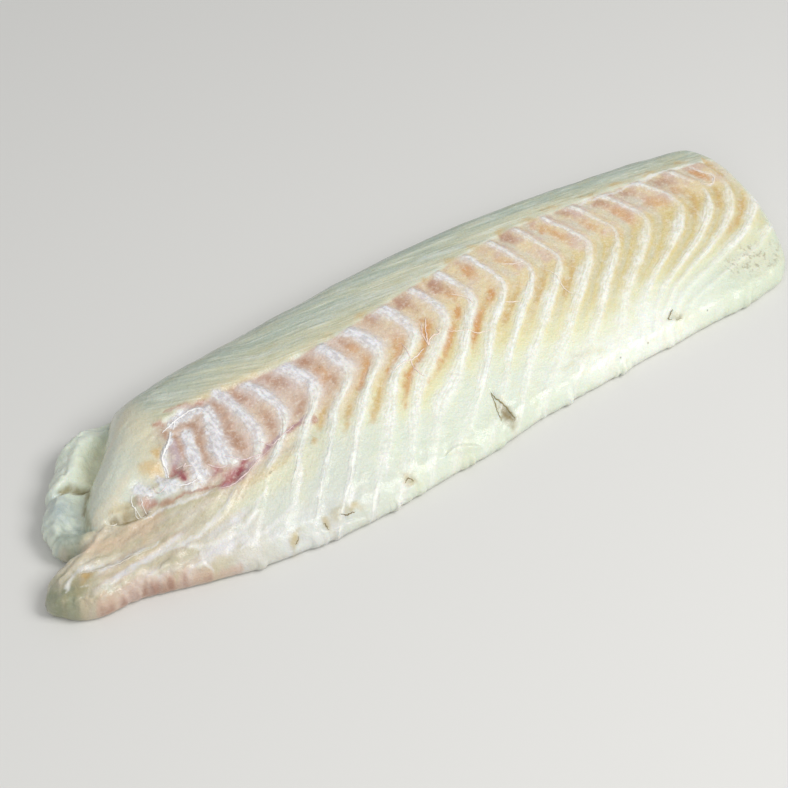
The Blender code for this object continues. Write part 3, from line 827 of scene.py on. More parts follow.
# %% Patches: paint, thickness, and for each patch its flake, its millimetres and both its radii
POINT_PATCHES = [
    ("brown_muscle", 0.80, [
        (-4.45, -1.5, 0.24, 5.5), (-5.50, 3.0, 0.26, 7.5), (-3.50, -1.5, 0.22, 4.5),
        (-6.65, 6.5, 0.26, 7.0), (-2.42, -9.0, 0.16, 5.0),
    ]),
    ("orange_muscle", 0.60, [
        (-3.62, 4.5, 0.22, 7.5), (-2.50, 6.0, 0.22, 5.0), (6.65, 7.0, 0.24, 9.0),
        (7.60, 5.0, 0.26, 5.5), (4.60, 9.0, 0.22, 5.0), (0.58, 7.0, 0.22, 5.0),
        (8.40, 7.0, 0.24, 5.5), (5.60, 7.5, 0.22, 5.5), (2.60, 9.0, 0.22, 5.0),
    ]),
    ("orange_muscle", 0.95, [
        (-2.42, -5.2, 0.21, 7.0), (-1.42, -5.2, 0.20, 9.5), (-0.52, -14.0, 0.22, 11.5),
        (-0.62, -1.2, 0.22, 6.0), (0.42, -1.8, 0.20, 4.6), (0.24, -10.5, 0.20, 10.0),
        (1.30, -10.0, 0.19, 9.0), (1.56, -1.0, 0.20, 4.6),
    ]),
    ("ochre", 0.75, [
        (-1.56, -17.0, 0.22, 7.0), (-2.50, -15.5, 0.22, 6.0), (-3.50, -11.0, 0.22, 6.0),
        (2.46, -7.5, 0.20, 9.0), (3.40, -8.0, 0.20, 9.0), (8.45, -2.0, 0.24, 9.0),
        (9.42, -4.0, 0.26, 9.0), (10.42, -15.0, 0.26, 9.0), (4.40, -9.0, 0.20, 9.0),
    ]),
]
TOP_PATCHES = [
    ("brown_muscle", 0.80, [
        (-1.40, 3.2, 0.24, 4.6), (-2.50, 4.0, 0.26, 5.0), (-3.56, 4.4, 0.26, 5.5),
        (-4.47, 5.0, 0.26, 5.5), (-5.55, 5.5, 0.26, 6.0), (-0.55, 5.0, 0.27, 7.0),
        (0.58, 6.0, 0.25, 6.0), (6.70, 4.0, 0.24, 5.0), (8.45, 4.4, 0.24, 5.0),
        (3.56, 4.0, 0.24, 4.0), (5.55, 3.6, 0.24, 4.0), (7.50, 3.6, 0.24, 4.0),
    ]),
    ("brown_red", 0.24, [
        (-1.40, 2.6, 0.18, 2.6), (-4.50, 3.4, 0.20, 3.0), (-0.58, 5.5, 0.20, 4.0),
        (0.56, 5.0, 0.18, 3.4), (-5.60, 6.5, 0.20, 3.4), (-3.58, 3.0, 0.16, 2.2),
    ]),
    ("orange_muscle", 0.75, [(1.58, 7.5, 0.22, 5.0), (4.58, 7.5, 0.22, 4.6)]),
]
DAB_PATCHES = [
    ("dab_gold", 0.66, [
        (2.60, -0.4, 0.30, 1.9), (3.62, -0.6, 0.32, 1.9), (4.66, -0.6, 0.30, 1.9),
        (5.64, -1.7, 0.36, 1.7), (6.76, -1.6, 0.34, 1.7), (7.70, -2.0, 0.36, 1.7),
        (8.55, -2.0, 0.36, 1.8), (9.60, -2.6, 0.40, 1.9), (1.60, -0.4, 0.26, 1.7),
        (0.55, 0.0, 0.24, 1.6), (-2.56, -0.6, 0.26, 1.6), (-1.46, -0.8, 0.22, 1.6),
    ]),
]


# %% [markdown]
# ## Laying the colours on
#
# The paint goes on in the order of the real layers: flank and muscle first, then the back strip, the
# nose, the lobe and the flap, and the marks last. Random bumps move every mask and mark about a
# little, so that no colour ends on a drawn line. In every list below a layer is a paint and how thick
# it is at each place, and the first layer lies lowest. A pair of numbers is where a zone starts and
# where it is full, in millimetres.

# %% How far each sheet's white reaches
ARM_BEFORE = [(-90, 0.24), (-60, 0.30), (-20, 0.30), (10, 0.22), (50, 0.17), (90, 0.14), (150, 0.13)]
ARM_AFTER = [(-90, 0.22), (-60, 0.27), (-20, 0.25), (10, 0.17), (50, 0.13), (90, 0.10), (150, 0.09)]
LEG_BEFORE, LEG_AFTER = 0.44, 0.17
THIN_BEFORE, THIN_AFTER = 0.16, 0.09
HEAD_OF_SHEET, HEAD_EXTRA = (0.0, 0.5, 2.5, 6.0), 0.06
ARM_WHITE, LEG_MORE, HEAD_MORE = 0.78, 0.18, 0.15
PAST_THIN_FLANK = (-60.0, -20.0)
FRONT_FLANK = (-32.0, -58.0)
UNEVEN_GROUPS, UNEVEN_EACH = 0.55, 0.30


def window(value, start, full, full_end, end):
    """0 outside start and end, 1 between the two full values."""
    return smooth_step(start, full, value) * smooth_step(end, full_end, value)


def sheet_reach(x, y, count, point, above_bottom, below_top):
    """How far white reaches before and after a sheet, in flakes, and how strong it is."""
    leg = smooth_step(1.0, -8.0, point)
    thin = smooth_step(*FRONT_FLANK, x) * smooth_step(1.0, -5.0, above_bottom)
    uneven = 1.0 + UNEVEN_GROUPS * grown(x, y, 5.0, 101) + UNEVEN_EACH * bumps(count, y / 14.0, 1.0, 103)
    head = window(below_top, *HEAD_OF_SHEET)
    before = (through(ARM_BEFORE, x) + HEAD_EXTRA * head) * (1 - leg) + LEG_BEFORE * leg
    after = through(ARM_AFTER, x) * (1 - leg) + LEG_AFTER * leg
    before, after = before + (THIN_BEFORE - before) * thin, after + (THIN_AFTER - after) * thin
    strength = ARM_WHITE + LEG_MORE * leg + HEAD_MORE * head
    weaker_at = [
        # low on the flank, at its thin front, and towards the tail
        0.60 * smooth_step(-24.0, -37.0, point) * smooth_step(*PAST_THIN_FLANK, x),
        0.10 * thin,
        smooth_step(-70.0, -80.0, x) * thin,
        0.25 * smooth_step(40.0, 100.0, x) * (1 - head),
        0.10 * smooth_step(60.0, 100.0, x) * (1 - leg),
        # no sheets in the nose, in the strip, and in the tail's two corners
        smooth_step(-79.0, -85.0, x),
        smooth_step(1.6, 0.2, below_top),
        smooth_step(-24.0, -34.0, y) * smooth_step(78.0, 92.0, x),
        smooth_step(142.0, 147.0, x) * smooth_step(11.0, 15.0, y),
        # and uneven everywhere
        0.10 * bumps(count, y / 9.0, 1.0, 107) - 0.50 * grown(x, y, 7.0, 105),
    ]
    for weaker in weaker_at:
        strength = strength * (1 - weaker)
    return before * uneven, after * uneven, strength.clip(0.0, 1.0)


# %% Layers of the band, the strip and the head
PATCH_RIM = (-0.15, 0.90)
PATCH_WANDER_FLAKES, PATCH_WANDER_MM = 0.05, 1.2
PATCH_UNEVEN_SMALL, PATCH_UNEVEN_MIDDLE = 0.50, 0.35
TO_MUSCLE, TO_TAIL = (-0.3, 1.2), (2.0, 8.0)
LEG_END, LEG_END_TAIL, LEG_END_FRONT = -29.0, 4.5, 12.0
MUSCLE_MIDDLE, MUSCLE_MIDDLE_FRONT = 0.30, 0.25      # of a flake
TAIL_FROM = (50.0, 90.0)


def lay_all(under, layers):
    """Paints laid one after another over what is under them."""
    for name, mask in layers:
        under = lay(under, name, mask)
    return under


def band_paint(paint, x, y, count, point, below_top, to_tail, uneven):
    """Muscle of the dark band between the white sheets, from the band's top to the flank."""
    share = count - np.floor(count)
    broad, middle, small = uneven
    in_band = smooth_step(*TO_MUSCLE, below_top) * smooth_step(*BAND_ENDS, x + 2.0 * middle)
    in_band = in_band * smooth_step(*TO_TAIL, to_tail + 1.5 * middle)
    leg_end = LEG_END - LEG_END_TAIL * smooth_step(10.0, 50.0, x)
    leg_end = leg_end + 3.0 * bumps(count, 0 * y, 1.0, 81) + 4.0 * middle
    leg_end = leg_end + LEG_END_FRONT * smooth_step(-15.0, -62.0, x)
    rosy = smooth_step(-5.0, -50.0, x + 14.0 * middle)
    near_top = window(below_top + 2.5 * middle, 0.0, 1.5, 4.0, 13.0)
    lower = smooth_step(0.0, -16.0, point + 3.0 * middle) * smooth_step(-62.0, -22.0, x)
    muscle_middle = MUSCLE_MIDDLE + MUSCLE_MIDDLE_FRONT * smooth_step(1.0, -1.5, count)
    off_middle = np.abs(share - muscle_middle + 0.06 * small)
    core = smooth_step(0.30, 0.08, off_middle) * smooth_step(*PAST_THIN_FLANK, x)
    core = core * window(point + 2.5 * middle, -25.0, -9.0, -4.0, 3.0)
    blush = smooth_step(0.0, 0.8, small + 0.8 * middle) * window(x, -110.0, -90.0, 90.0, 150.0)
    gold = smooth_step(0.1, 0.9, grown(x, y, 3.6, 77)) * smooth_step(-40.0, 0.0, x)
    amber = smooth_step(0.2, 0.95, middle + 0.5 * small) * smooth_step(-60.0, -30.0, x)
    tail = smooth_step(*TAIL_FROM, x + 10.0 * broad)
    pinkish = smooth_step(-0.3, 0.7, middle + 0.4 * small) * smooth_step(-2.0, 6.0, point)
    soft_rim = window(share, 0.14, 0.30, 0.40, 0.52) * smooth_step(20.0, 60.0, x)
    colour = lay_all(paint, [
        ("golden_muscle", np.ones_like(x)),
        ("tan_muscle", smooth_step(30.0, -30.0, x + 12.0 * broad)),
        ("tan_muscle", (0.60 + 0.6 * middle) * smooth_step(0.0, 8.0, point + 3.0 * middle)),
        ("rosy_muscle", rosy * (0.8 + 0.7 * broad)),
        ("brown_muscle", near_top * (0.25 + 0.5 * middle + 0.3 * small)),
        ("straw_muscle", 0.9 * lower),
        ("ochre", core * (0.50 + 0.4 * middle)),
        ("flesh_pink", 0.60 * blush * smooth_step(-6.0, 4.0, point)),
        ("golden_muscle", 0.75 * gold),
        ("orange_muscle", 0.20 * amber * smooth_step(-10.0, 0.0, point)),
        ("tail_gold", 0.75 * tail * smooth_step(4.0, -6.0, point + 3.0 * middle)),
        ("rosy_muscle", 0.65 * tail * pinkish),
        ("green_haze", 0.60 * soft_rim * (0.8 + 0.5 * middle)),
        ("pale_straw", 0.9 * (1 - smooth_step(leg_end + 1.0, leg_end + 17.0, point))),
    ])
    muscle_reach = in_band * smooth_step(leg_end - 5.0, leg_end + 9.0, point)
    return paint * (1 - muscle_reach[:, None]) + colour * muscle_reach[:, None]


def patches_paint(paint, groups, count, second, torn):
    """Patches given by their flake count and by a second measure in millimetres."""
    middle, small = torn
    for name, thickness, patches in groups:
        marks = [((at, up), (half, reach), 0.0) for at, up, half, reach in patches]
        moved = count + PATCH_WANDER_FLAKES * (middle + small), second + PATCH_WANDER_MM * middle
        near = any_mark(marks, *moved) + PATCH_UNEVEN_SMALL * small + PATCH_UNEVEN_MIDDLE * middle
        paint = lay(paint, name, thickness * smooth_step(*PATCH_RIM, near))
    return paint


def strip_paint(paint, x, y, above, to_rim, uneven):
    """The strip along the back: cream next to the band, grey-green towards the rim, with streaks, all
    darkened as painted shade that deepens towards the rim.
    """
    broad, middle, small = uneven
    on_strip = smooth_step(-1.0, 1.0, above)
    streak = strip_streaks(x, y, 30.0, 2.8, 85) + 0.5 * strip_streaks(x, y, 14.0, 1.2, 87)
    streak = streak * off_wall(x, y)
    strip = lay_all(paint, [
        ("strip_cream", np.ones_like(x)),
        # the grey-green and the rim's paint are partly the strip's own tone and partly painted shade of a
        # face turned from the lamp
        ("strip_green_and_shade", smooth_step(0.10, 0.55, to_rim + 0.2 * streak)),
        ("strip_rim_and_shade", smooth_step(0.6, 1.0, to_rim + 0.2 * broad)),
        ("strip_white", 0.55 * smooth_step(0.1, 0.9, streak)),
        ("strip_olive", 0.45 * smooth_step(0.0, 0.8, grown(x / 3.0, y, 3.0, 97))),
        ("lobe_slope", 0.30 * smooth_step(-0.2, -0.9, streak)),
        ("wall", 0.9 * smooth_step(3.0, 0.5, through(BACK_EDGE, x) - y)),
    ])
    paint = paint * (1 - on_strip[:, None]) + strip * on_strip[:, None]
    line = window(above + 0.8 * small, -1.0, 0.4, 1.0, 4.0) * window(x, -100.0, -90.0, -40.0, 10.0)
    return lay(paint, "ochre", 0.22 * line * (0.8 + 0.9 * middle))


def head_paint(paint, x, y, depth, middle, small):
    """The smooth nose, the lobe behind it and the belly flap beside it."""
    head = smooth_step(-92.0, -108.0, x + 3.0 * middle + 0.25 * np.abs(y - 2.0))
    flap = smooth_step(-8.5, -11.0, y + 0.20 * (x + 130.0)) * smooth_step(-84.0, -122.0, x + 8.0 * middle)
    nose = head * smooth_step(-1.0, 1.0, depth) * (1 - flap) * smooth_step(-101.0, -113.0, x - 0.16 * y)
    lobe = smooth_step(1.0, -0.5, depth) * smooth_step(-106.0, -112.0, x) * smooth_step(-12.0, -8.5, y)
    low_flap = flap * smooth_step(-16.0, -26.0, y)
    nose_broad = streaks_of(x, y, 16.0, 2.6, NOSE_SLANT, 89)
    nose_fine = streaks_of(x, y, 12.0, 1.3, NOSE_SLANT, 95)
    flap_broad = streaks_of(x, y, 22.0, 2.4, FLAP_SLANT, 91) + 0.4 * middle
    flap_fine = streaks_of(x, y, 14.0, 1.1, FLAP_SLANT, 93) + 0.4 * small
    return lay_all(paint, [
        ("nose", nose),
        ("nose_cream", nose * smooth_step(-0.4, 0.9, nose_broad + 0.4 * middle)),
        ("strip_white", 0.40 * nose * smooth_step(0.1, 0.9, nose_fine)),
        ("nose_tan_and_lip_shade", 0.55 * nose * smooth_step(-126.0, -112.0, x + 3.0 * middle - 0.3 * y)),
        ("lobe", lobe),
        ("flap", flap * 0.9),
        ("low_pink", 0.30 * low_flap * smooth_step(-112.0, -124.0, x)),
        ("flap_lilac", 0.85 * low_flap * smooth_step(-0.1, 0.8, flap_broad)),
        ("nose_cream", 0.60 * flap * smooth_step(0.0, 0.7, flap_fine)),
        ("nose_tan_and_lip_shade", 0.35 * flap * smooth_step(-0.1, -0.8, flap_fine)),
        ("flap_green", flap * 0.4 * smooth_step(-0.1, -0.9, flap_broad)),
    ])


# %% Paint every vertex
MOVED, MOVED_FINE = 1.3, 0.5                # mm
MOVED_SIZE, MOVED_FINE_SIZE = 5.0, 1.6      # of the bumps, in mm
RIM_WANDER = 0.50
MARK_RIM = (-0.35, 0.95)
SHEET_HAZE, HAZE_REACH = 0.55, 1.55
UNEVEN_SIZES = [(14.0, 71), (5.0, 73), (2.2, 75)]     # size in mm and seed
SKIN_RIM = (1.0, 7.0)


def wandered(x, y):
    """The same places moved about by up to a millimetre, for marks with a torn look."""
    across = MOVED * grown(x, y, MOVED_SIZE, 201) + MOVED_FINE * bumps(x, y, MOVED_FINE_SIZE, 211)
    up = MOVED * grown(x, y, MOVED_SIZE, 205) + MOVED_FINE * bumps(x, y, MOVED_FINE_SIZE, 215)
    return x + across, y + up


def flank_paint(x, y, count, to_tail, uneven):
    """The pale flank, which is greyer towards the head and greener at the tail."""
    broad, middle, small = uneven
    front = smooth_step(-25.0, -70.0, x + 10.0 * broad)
    vein = smooth_step(0.15, 0.75, bumps(count * 1.4, y / 9.0, 1.0, 83) + 0.5 * middle)
    low = smooth_step(-34.0, -44.0, y + 3.0 * middle) * smooth_step(-40.0, -85.0, x)
    straws = smooth_step(0.05, 0.8, small + 0.5 * middle) * smooth_step(-60.0, -30.0, x)
    tail_low = smooth_step(86.0, 134.0, x + 4.0 * middle) * smooth_step(0.0, -14.0, y + 4.0 * middle)
    rim = smooth_step(-33.0, -39.0, y + 3.0 * middle + 0.05 * x) * window(x, -30.0, 0.0, 70.0, 100.0)
    return lay_all(np.tile(linear(PAINTS["flank"]), (len(x), 1)), [
        ("mid_flank", smooth_step(75.0, 5.0, x + 10.0 * broad)),
        ("cream", front * 0.9),
        ("flank_vein", vein * (0.30 + 0.15 * front)),
        ("lilac_white", low * (0.6 + 0.6 * middle)),
        ("pale_straw", 0.45 * straws),
        ("tail_green", 0.40 * smooth_step(-0.1, -0.9, small + 0.4 * broad)),
        ("tail_green", 0.9 * tail_low + 0.8 * smooth_step(8.0, 3.0, to_tail + 2.0 * middle)),
        ("tail_green", 0.45 * rim),
    ])


def flesh_paint(x, y, u, v, skinned):
    """Colour of every vertex, from the masks of the zones and the marks."""
    count = flake_count(x, y)
    point, top = y - through(POINT_LINE, x), through(BAND_TOP, x)
    uneven = [grown(x, y, size, seed) for size, seed in UNEVEN_SIZES]
    middle, small = uneven[1:]
    to_edges = edge_distances(u, v)
    paint = flank_paint(x, y, count, to_edges[3], uneven)
    paint = band_paint(paint, x, y, count, point, top - y + 0.5 * middle, to_edges[3], uneven)
    paint = patches_paint(paint, POINT_PATCHES, count, point, uneven[1:])
    paint = patches_paint(paint, TOP_PATCHES, count, top - y, uneven[1:])
    past_sheet = (count + 0.5) % 1.0 - 0.5 + 0.03 * small
    before, after, strength = sheet_reach(x, y, count, point, y - through(BAND_BOTTOM, x), top - y)
    haze = 1.0 - np.abs(past_sheet) / (HAZE_REACH * np.where(past_sheet < 0.0, before, after))
    white = SHEET_HAZE * strength * smooth_step(0.0, 0.9, haze)
    leg = smooth_step(3.0, -9.0, point) * smooth_step(*PAST_THIN_FLANK, x)
    paint = lay_all(paint, [("lilac_white", white * (1 - leg)), ("leg_white", white * leg)])
    above = y - top + 0.5 * middle
    to_rim = (above / np.maximum(1.0, through(BACK_EDGE, x) - top)).clip(0.0, 1.0)
    paint = strip_paint(paint, x, y, above, to_rim, uneven)
    paint = patches_paint(paint, DAB_PATCHES, count, top - y, uneven[1:])
    paint = head_paint(paint, x, y, depth_in_nose(x, y) + 0.8 * middle, middle, small)
    torn_x, torn_y = wandered(x, y)
    for name, thickness, marks in PAINTED_MARKS:
        near = any_mark(marks, torn_x, torn_y) + RIM_WANDER * (small + 0.6 * middle)
        paint = lay(paint, name, thickness * smooth_step(*MARK_RIM, near))
    haze = any_mark(WHITE_MARKS, torn_x, torn_y) + 0.5 * middle
    paint = lay(paint, "lilac_white", 0.5 * smooth_step(-0.9, 0.5, haze))
    skin = lay(np.tile(linear(PAINTS["skin_side"]), (len(x), 1)), "skin_grey", 0.5 + 0.6 * middle)
    on_skin = (skinned * smooth_step(*SKIN_RIM, np.minimum.reduce(to_edges)))[:, None]
    return paint * (1 - on_skin) + skin * on_skin


# %% [markdown]
# ## White sheets, threads and cracks
#
# These have crisp rims, so the mesh only stores where they are: the flake count, how far each sheet's
# white reaches to both sides of it, and how near a thread or crack is. The shader cuts the rims.
# On the arms of the arrows a sheet is a soft even band. Below the point it builds up slowly and ends
# sharply on its tail side, and on the thin front flank it is no more than a line.

# %% Threads, cracks and fields
TAIL_LOOP = [(149.8, 26.1), (152.6, 21.0), (155.5, 16.0), (152.5, 13.4), (148.2, 15.7)]
THREADS = [
    ([(-138.0, -28.6), (-134.3, -29.0), (-126.4, -29.2), (-118.2, -30.0), (-109.4, -29.0),
      (-102.4, -27.0), (-97.0, -23.9), (-94.3, -21.6)], 1.5),
    ([(-126.0, -28.8), (-122.4, -29.5), (-114.8, -33.4), (-107.8, -35.5), (-102.1, -35.6),
      (-96.7, -34.7), (-90.6, -31.6), (-86.0, -28.3), (-83.0, -24.6)], 1.5),
    ([(-104.0, -41.0), (-96.6, -39.8), (-88.7, -40.0), (-81.7, -38.0), (-76.0, -34.0),
      (-71.6, -28.6), (-68.6, -24.6)], 1.5),
    ([(-100.3, -36.6), (-99.6, -39.6), (-97.0, -42.8)], 1.2),
    ([(-87.6, -39.4), (-84.4, -42.0), (-83.0, -45.0)], 1.2),
    ([(-114.5, -33.6), (-116.6, -37.6), (-114.6, -41.2)], 1.0),
    ([(-56.2, -36.0), (-57.2, -40.7), (-61.7, -46.1)], 1.4),
    ([(-43.2, -34.0), (-41.0, -38.0), (-43.6, -42.0)], 1.0),
    ([(-118.7, -10.4), (-113.1, -11.2), (-108.0, -11.0), (-103.4, -13.4)], 1.2),
    ([(-126.6, -13.0), (-119.0, -15.4), (-111.0, -17.4), (-102.0, -19.4)], 1.2),
    ([(-160.6, -21.6), (-156.8, -20.8), (-152.0, -20.6), (-146.5, -22.6)], 1.5),
    ([(-163.7, -24.6), (-160.6, -22.0), (-157.6, -21.0)], 1.2),
    ([(-152.0, -22.8), (-144.0, -24.6), (-136.0, -24.2), (-126.0, -25.0)], 1.2),
    ((-157.2, -26.6), (2.4, 0.9), -35.0), ((-137.4, -8.1), (1.2, 0.8), 0.0),
    ([(91.5, 28.4), (98.6, 27.8), (106.5, 27.2), (115.2, 27.4), (123.3, 26.9), (132.0, 27.9),
      (139.0, 28.0), (147.5, 27.6), (153.1, 25.9)], 1.2),
    (TAIL_LOOP, 0.9),
]
CRACKS = [
    ((-41.0, 5.7), (0.8, 0.6), 0.0), ((-80.2, -23.3), (1.4, 0.6), 20.0), ((-74.8, -13.9), (0.9, 0.7), 0.0),
    ((78.2, -17.5), (0.6, 0.5), 0.0), ((79.6, -37.4), (0.8, 0.5), 0.0),
    ((110.0, -36.2), (0.7, 0.5), 0.0), ((66.0, -38.0), (0.8, 0.4), 0.0),
]
SKIN_OFF = 2.0           # taken off every mark under the skinned side, so that none shows there
SPECKLED_CORNER = ((142.0, -25.5), (19.0, 9.5), -3.0)


def flesh_fields(x, y):
    """Every number per vertex that the material's crisp details read, by name."""
    count = flake_count(x, y)
    point, above_bottom = y - through(POINT_LINE, x), y - through(BAND_BOTTOM, x)
    below_top = through(BAND_TOP, x) - y
    before, after, strength = sheet_reach(x, y, count, point, above_bottom, below_top)
    torn_x, torn_y = wandered(x, y)
    in_band = smooth_step(0.0, 2.0, below_top) * smooth_step(*BAND_ENDS, x)
    return {
        "flake": count,
        "white_before": before,
        "white_after": after,
        "white_strength": strength,
        "arm": smooth_step(-3.0, 3.0, point) * smooth_step(110.0, -10.0, x),
        "white_mark": any_mark(WHITE_MARKS, torn_x, torn_y),
        "thread": any_mark(THREADS, torn_x, torn_y),
        "crack": any_mark(CRACKS, x, y),
        "muscle": smooth_step(-30.0, -8.0, point) * in_band,
        "speckled": patch_mark(*SPECKLED_CORNER, x, y),
        "strip": smooth_step(-1.0, 2.0, -below_top) * smooth_step(-113.0, -98.0, x),
        "across_strip": across_strip(x, y),
    }


# %% Write the colours and fields on the mesh
numbers = np.empty(len(flesh_mesh.vertices), np.int32)
flesh_mesh.attributes["place_number"].data.foreach_get("value", numbers)
u_all, v_all = grid_shares(flat_all[numbers])
x_all, y_all = np.moveaxis(outline_place(u_all, v_all), -1, 0)
fields = flesh_fields(x_all, y_all)
to_rim_all = np.minimum.reduce(edge_distances(u_all, v_all))
under = skinned_side[numbers] * smooth_step(*SKIN_RIM, to_rim_all)
for name in ("white_strength", "muscle", "speckled", "strip"):
    fields[name] = fields[name] * (1.0 - under)
for name in ("white_mark", "thread", "crack"):
    fields[name] = fields[name] - SKIN_OFF * under
for name, values in fields.items():
    attribute = flesh_mesh.attributes.new(name, "FLOAT", "POINT")
    attribute.data.foreach_set("value", values.astype(np.float32))
painted = flesh_paint(x_all, y_all, u_all, v_all, skinned_side[numbers])
paint_layer = flesh_mesh.attributes.new("paint", "FLOAT_COLOR", "POINT")
paint_layer.data.foreach_set("color", painted.astype(np.float32).ravel())
flesh_mesh.attributes.remove(flesh_mesh.attributes["place_number"])
print("fields:", ", ".join(sorted(fields)))
print("paint from", painted.min().round(2), "to", painted.max().round(2))

# %% [markdown]
# ## Raw cod flesh
#
# Raw white fish is wet protein: clear muscle that scatters light a few millimetres deep, so thin rims
# look glassy and cut faces glow. The sheets between the flakes scatter more and look white. A film of
# water gives small sharp glints on a softer gloss. In the shader that is some light carried under the
# surface, a medium roughness and a clear coat. Over the painted colour lie thin layers, each a noise or
# a field that is cut to a mask and filled with one colour.

# %% The helper for nodes
def node(tree, kind, inputs=None, out=0, **settings):
    """Adds one node with its settings, its values and links on its inputs, and returns one output."""
    new = tree.nodes.new(kind)
    for name, value in settings.items():
        setattr(new, name, value)
    for key, value in (inputs or {}).items():
        if isinstance(value, bpy.types.NodeSocket):
            tree.links.new(value, new.inputs[key])
        else:
            new.inputs[key].default_value = value
    return new.outputs[out]


COLOUR_A, COLOUR_B, COLOUR_OUT = 6, 7, 2     # sockets of a Mix node that is set to colours
SMOOTH = {"interpolation_type": "SMOOTHSTEP"}

# %% Grain and fibres of the flesh
flesh = bpy.data.materials.new("raw_cod_flesh")
flesh.use_nodes = True
tree = flesh.node_tree
shader = tree.nodes["Principled BSDF"]
place = node(tree, "ShaderNodeTexCoord", out="Object")
place_x, place_y, place_z = (
    node(tree, "ShaderNodeSeparateXYZ", {"Vector": place}, axis) for axis in range(3)
)
field = {name: node(tree, "ShaderNodeAttribute", out="Fac", attribute_name=name) for name in fields}
colour = node(tree, "ShaderNodeAttribute", out="Color", attribute_name="paint")
GRAINS_MM = {"micro": 0.75, "fine": 1.5, "specks": 1.0, "middle": 2.8}
GRAIN_LIFT = 0.013       # metres between the noises, so that no two agree
grain = {}
for name, size in GRAINS_MM.items():
    links = {0: place, 1: (0.0, 0.0, GRAIN_LIFT * len(grain))}
    moved = node(tree, "ShaderNodeVectorMath", links, operation="ADD")
    links = {"Vector": moved, "Scale": 1.0 / (size * MM), "Detail": 3.0}
    grain[name] = node(tree, "ShaderNodeTexNoise", links)

FIBRE_MM = (1.3, 5.5)        # across and along a sheet
STREAK_MM = (22.0, 1.1)      # along and across the back strip
# noises drawn out along the flesh: their detail, and for each axis a value and its scale
DRAWN_OUT = {
    "fibres": (2.0, {
        "X": (field["flake"], FLAKE_LENGTH / FIBRE_MM[0]), "Y": (place_y, 1.0 / (FIBRE_MM[1] * MM)),
    }),
    "streaks": (3.0, {
        "X": (place_x, 1.0 / (STREAK_MM[0] * MM)), "Y": (field["across_strip"], 1.0 / STREAK_MM[1]),
        "Z": (place_z, 1.0 / (STREAK_MM[1] * MM)),
    }),
}
for name, (detail, axes) in DRAWN_OUT.items():
    links = {
        axis: node(tree, "ShaderNodeMath", {0: value, 1: scale}, operation="MULTIPLY")
        for axis, (value, scale) in axes.items()
    }
    links = {"Vector": node(tree, "ShaderNodeCombineXYZ", links), "Scale": 1.0, "Detail": detail}
    grain[name] = node(tree, "ShaderNodeTexNoise", links)

# %% Mottled muscle, and fine streaks of the back strip that run on down the back wall
in_muscle = node(tree, "ShaderNodeMapRange", {"Value": field["muscle"], "To Min": 0.25})
# noise, where it starts and is full, thickness, colour, within what, and how it is mixed
GROUND_LAYERS = [
    ("middle", 0.50, 0.75, 0.18, "#dcc6a4", in_muscle, "MULTIPLY"),
    ("fine", 0.50, 0.70, 0.32, "#f5eadd", in_muscle, "MIX"),
    ("micro", 0.53, 0.75, 0.28, "#a98a6c", in_muscle, "MIX"),
    ("specks", 0.56, 0.72, 0.22, "#f4efe4", in_muscle, "MIX"),
    ("streaks", 0.52, 0.72, 0.50, "#e2e5d8", field["strip"], "MIX"),
    ("streaks", 0.48, 0.28, 0.34, "#93a293", field["strip"], "MIX"),
]
for name, start, end, thickness, hex_colour, within, how in GROUND_LAYERS:
    links = {"Value": grain[name], "From Min": start, "From Max": end, "To Max": thickness}
    mask = node(tree, "ShaderNodeMapRange", links, **SMOOTH)
    mask = node(tree, "ShaderNodeMath", {0: mask, 1: within}, operation="MULTIPLY")
    links = {0: mask, COLOUR_A: colour, COLOUR_B: linear(hex_colour)}
    colour = node(tree, "ShaderNodeMix", links, COLOUR_OUT, data_type="RGBA", blend_type=how)

# %% White sheets between the flakes
EDGE_NOISES = {"fine": 0.10, "fibres": 0.16}      # of a flake
FULL_WHITE = 0.12                                 # of the reach to either side
shifted = field["flake"]
for name, much in EDGE_NOISES.items():
    links = {0: grain[name], 1: much, 2: shifted}
    shifted = node(tree, "ShaderNodeMath", links, operation="MULTIPLY_ADD")
centred = 0.5 - sum(EDGE_NOISES.values()) / 2
shifted = node(tree, "ShaderNodeMath", {0: shifted, 1: centred}, operation="ADD")
share = node(tree, "ShaderNodeMath", {0: shifted}, operation="FRACT")
past_sheet = node(tree, "ShaderNodeMath", {0: share, 1: 0.5}, operation="SUBTRACT")
sides = {}
for name, side in (("white_before", -1.0), ("white_after", 1.0)):
    ends_at = node(tree, "ShaderNodeMath", {0: field[name], 1: side}, operation="MULTIPLY")
    full_at = node(tree, "ShaderNodeMath", {0: ends_at, 1: FULL_WHITE}, operation="MULTIPLY")
    links = {"Value": past_sheet, "From Min": ends_at, "From Max": full_at}
    sides[name] = node(tree, "ShaderNodeMapRange", links, **SMOOTH)
links = {0: sides["white_before"], 1: sides["white_after"]}
white = node(tree, "ShaderNodeMath", links, operation="MINIMUM")
white = node(tree, "ShaderNodeMath", {0: white, 1: field["white_strength"]}, operation="MULTIPLY")

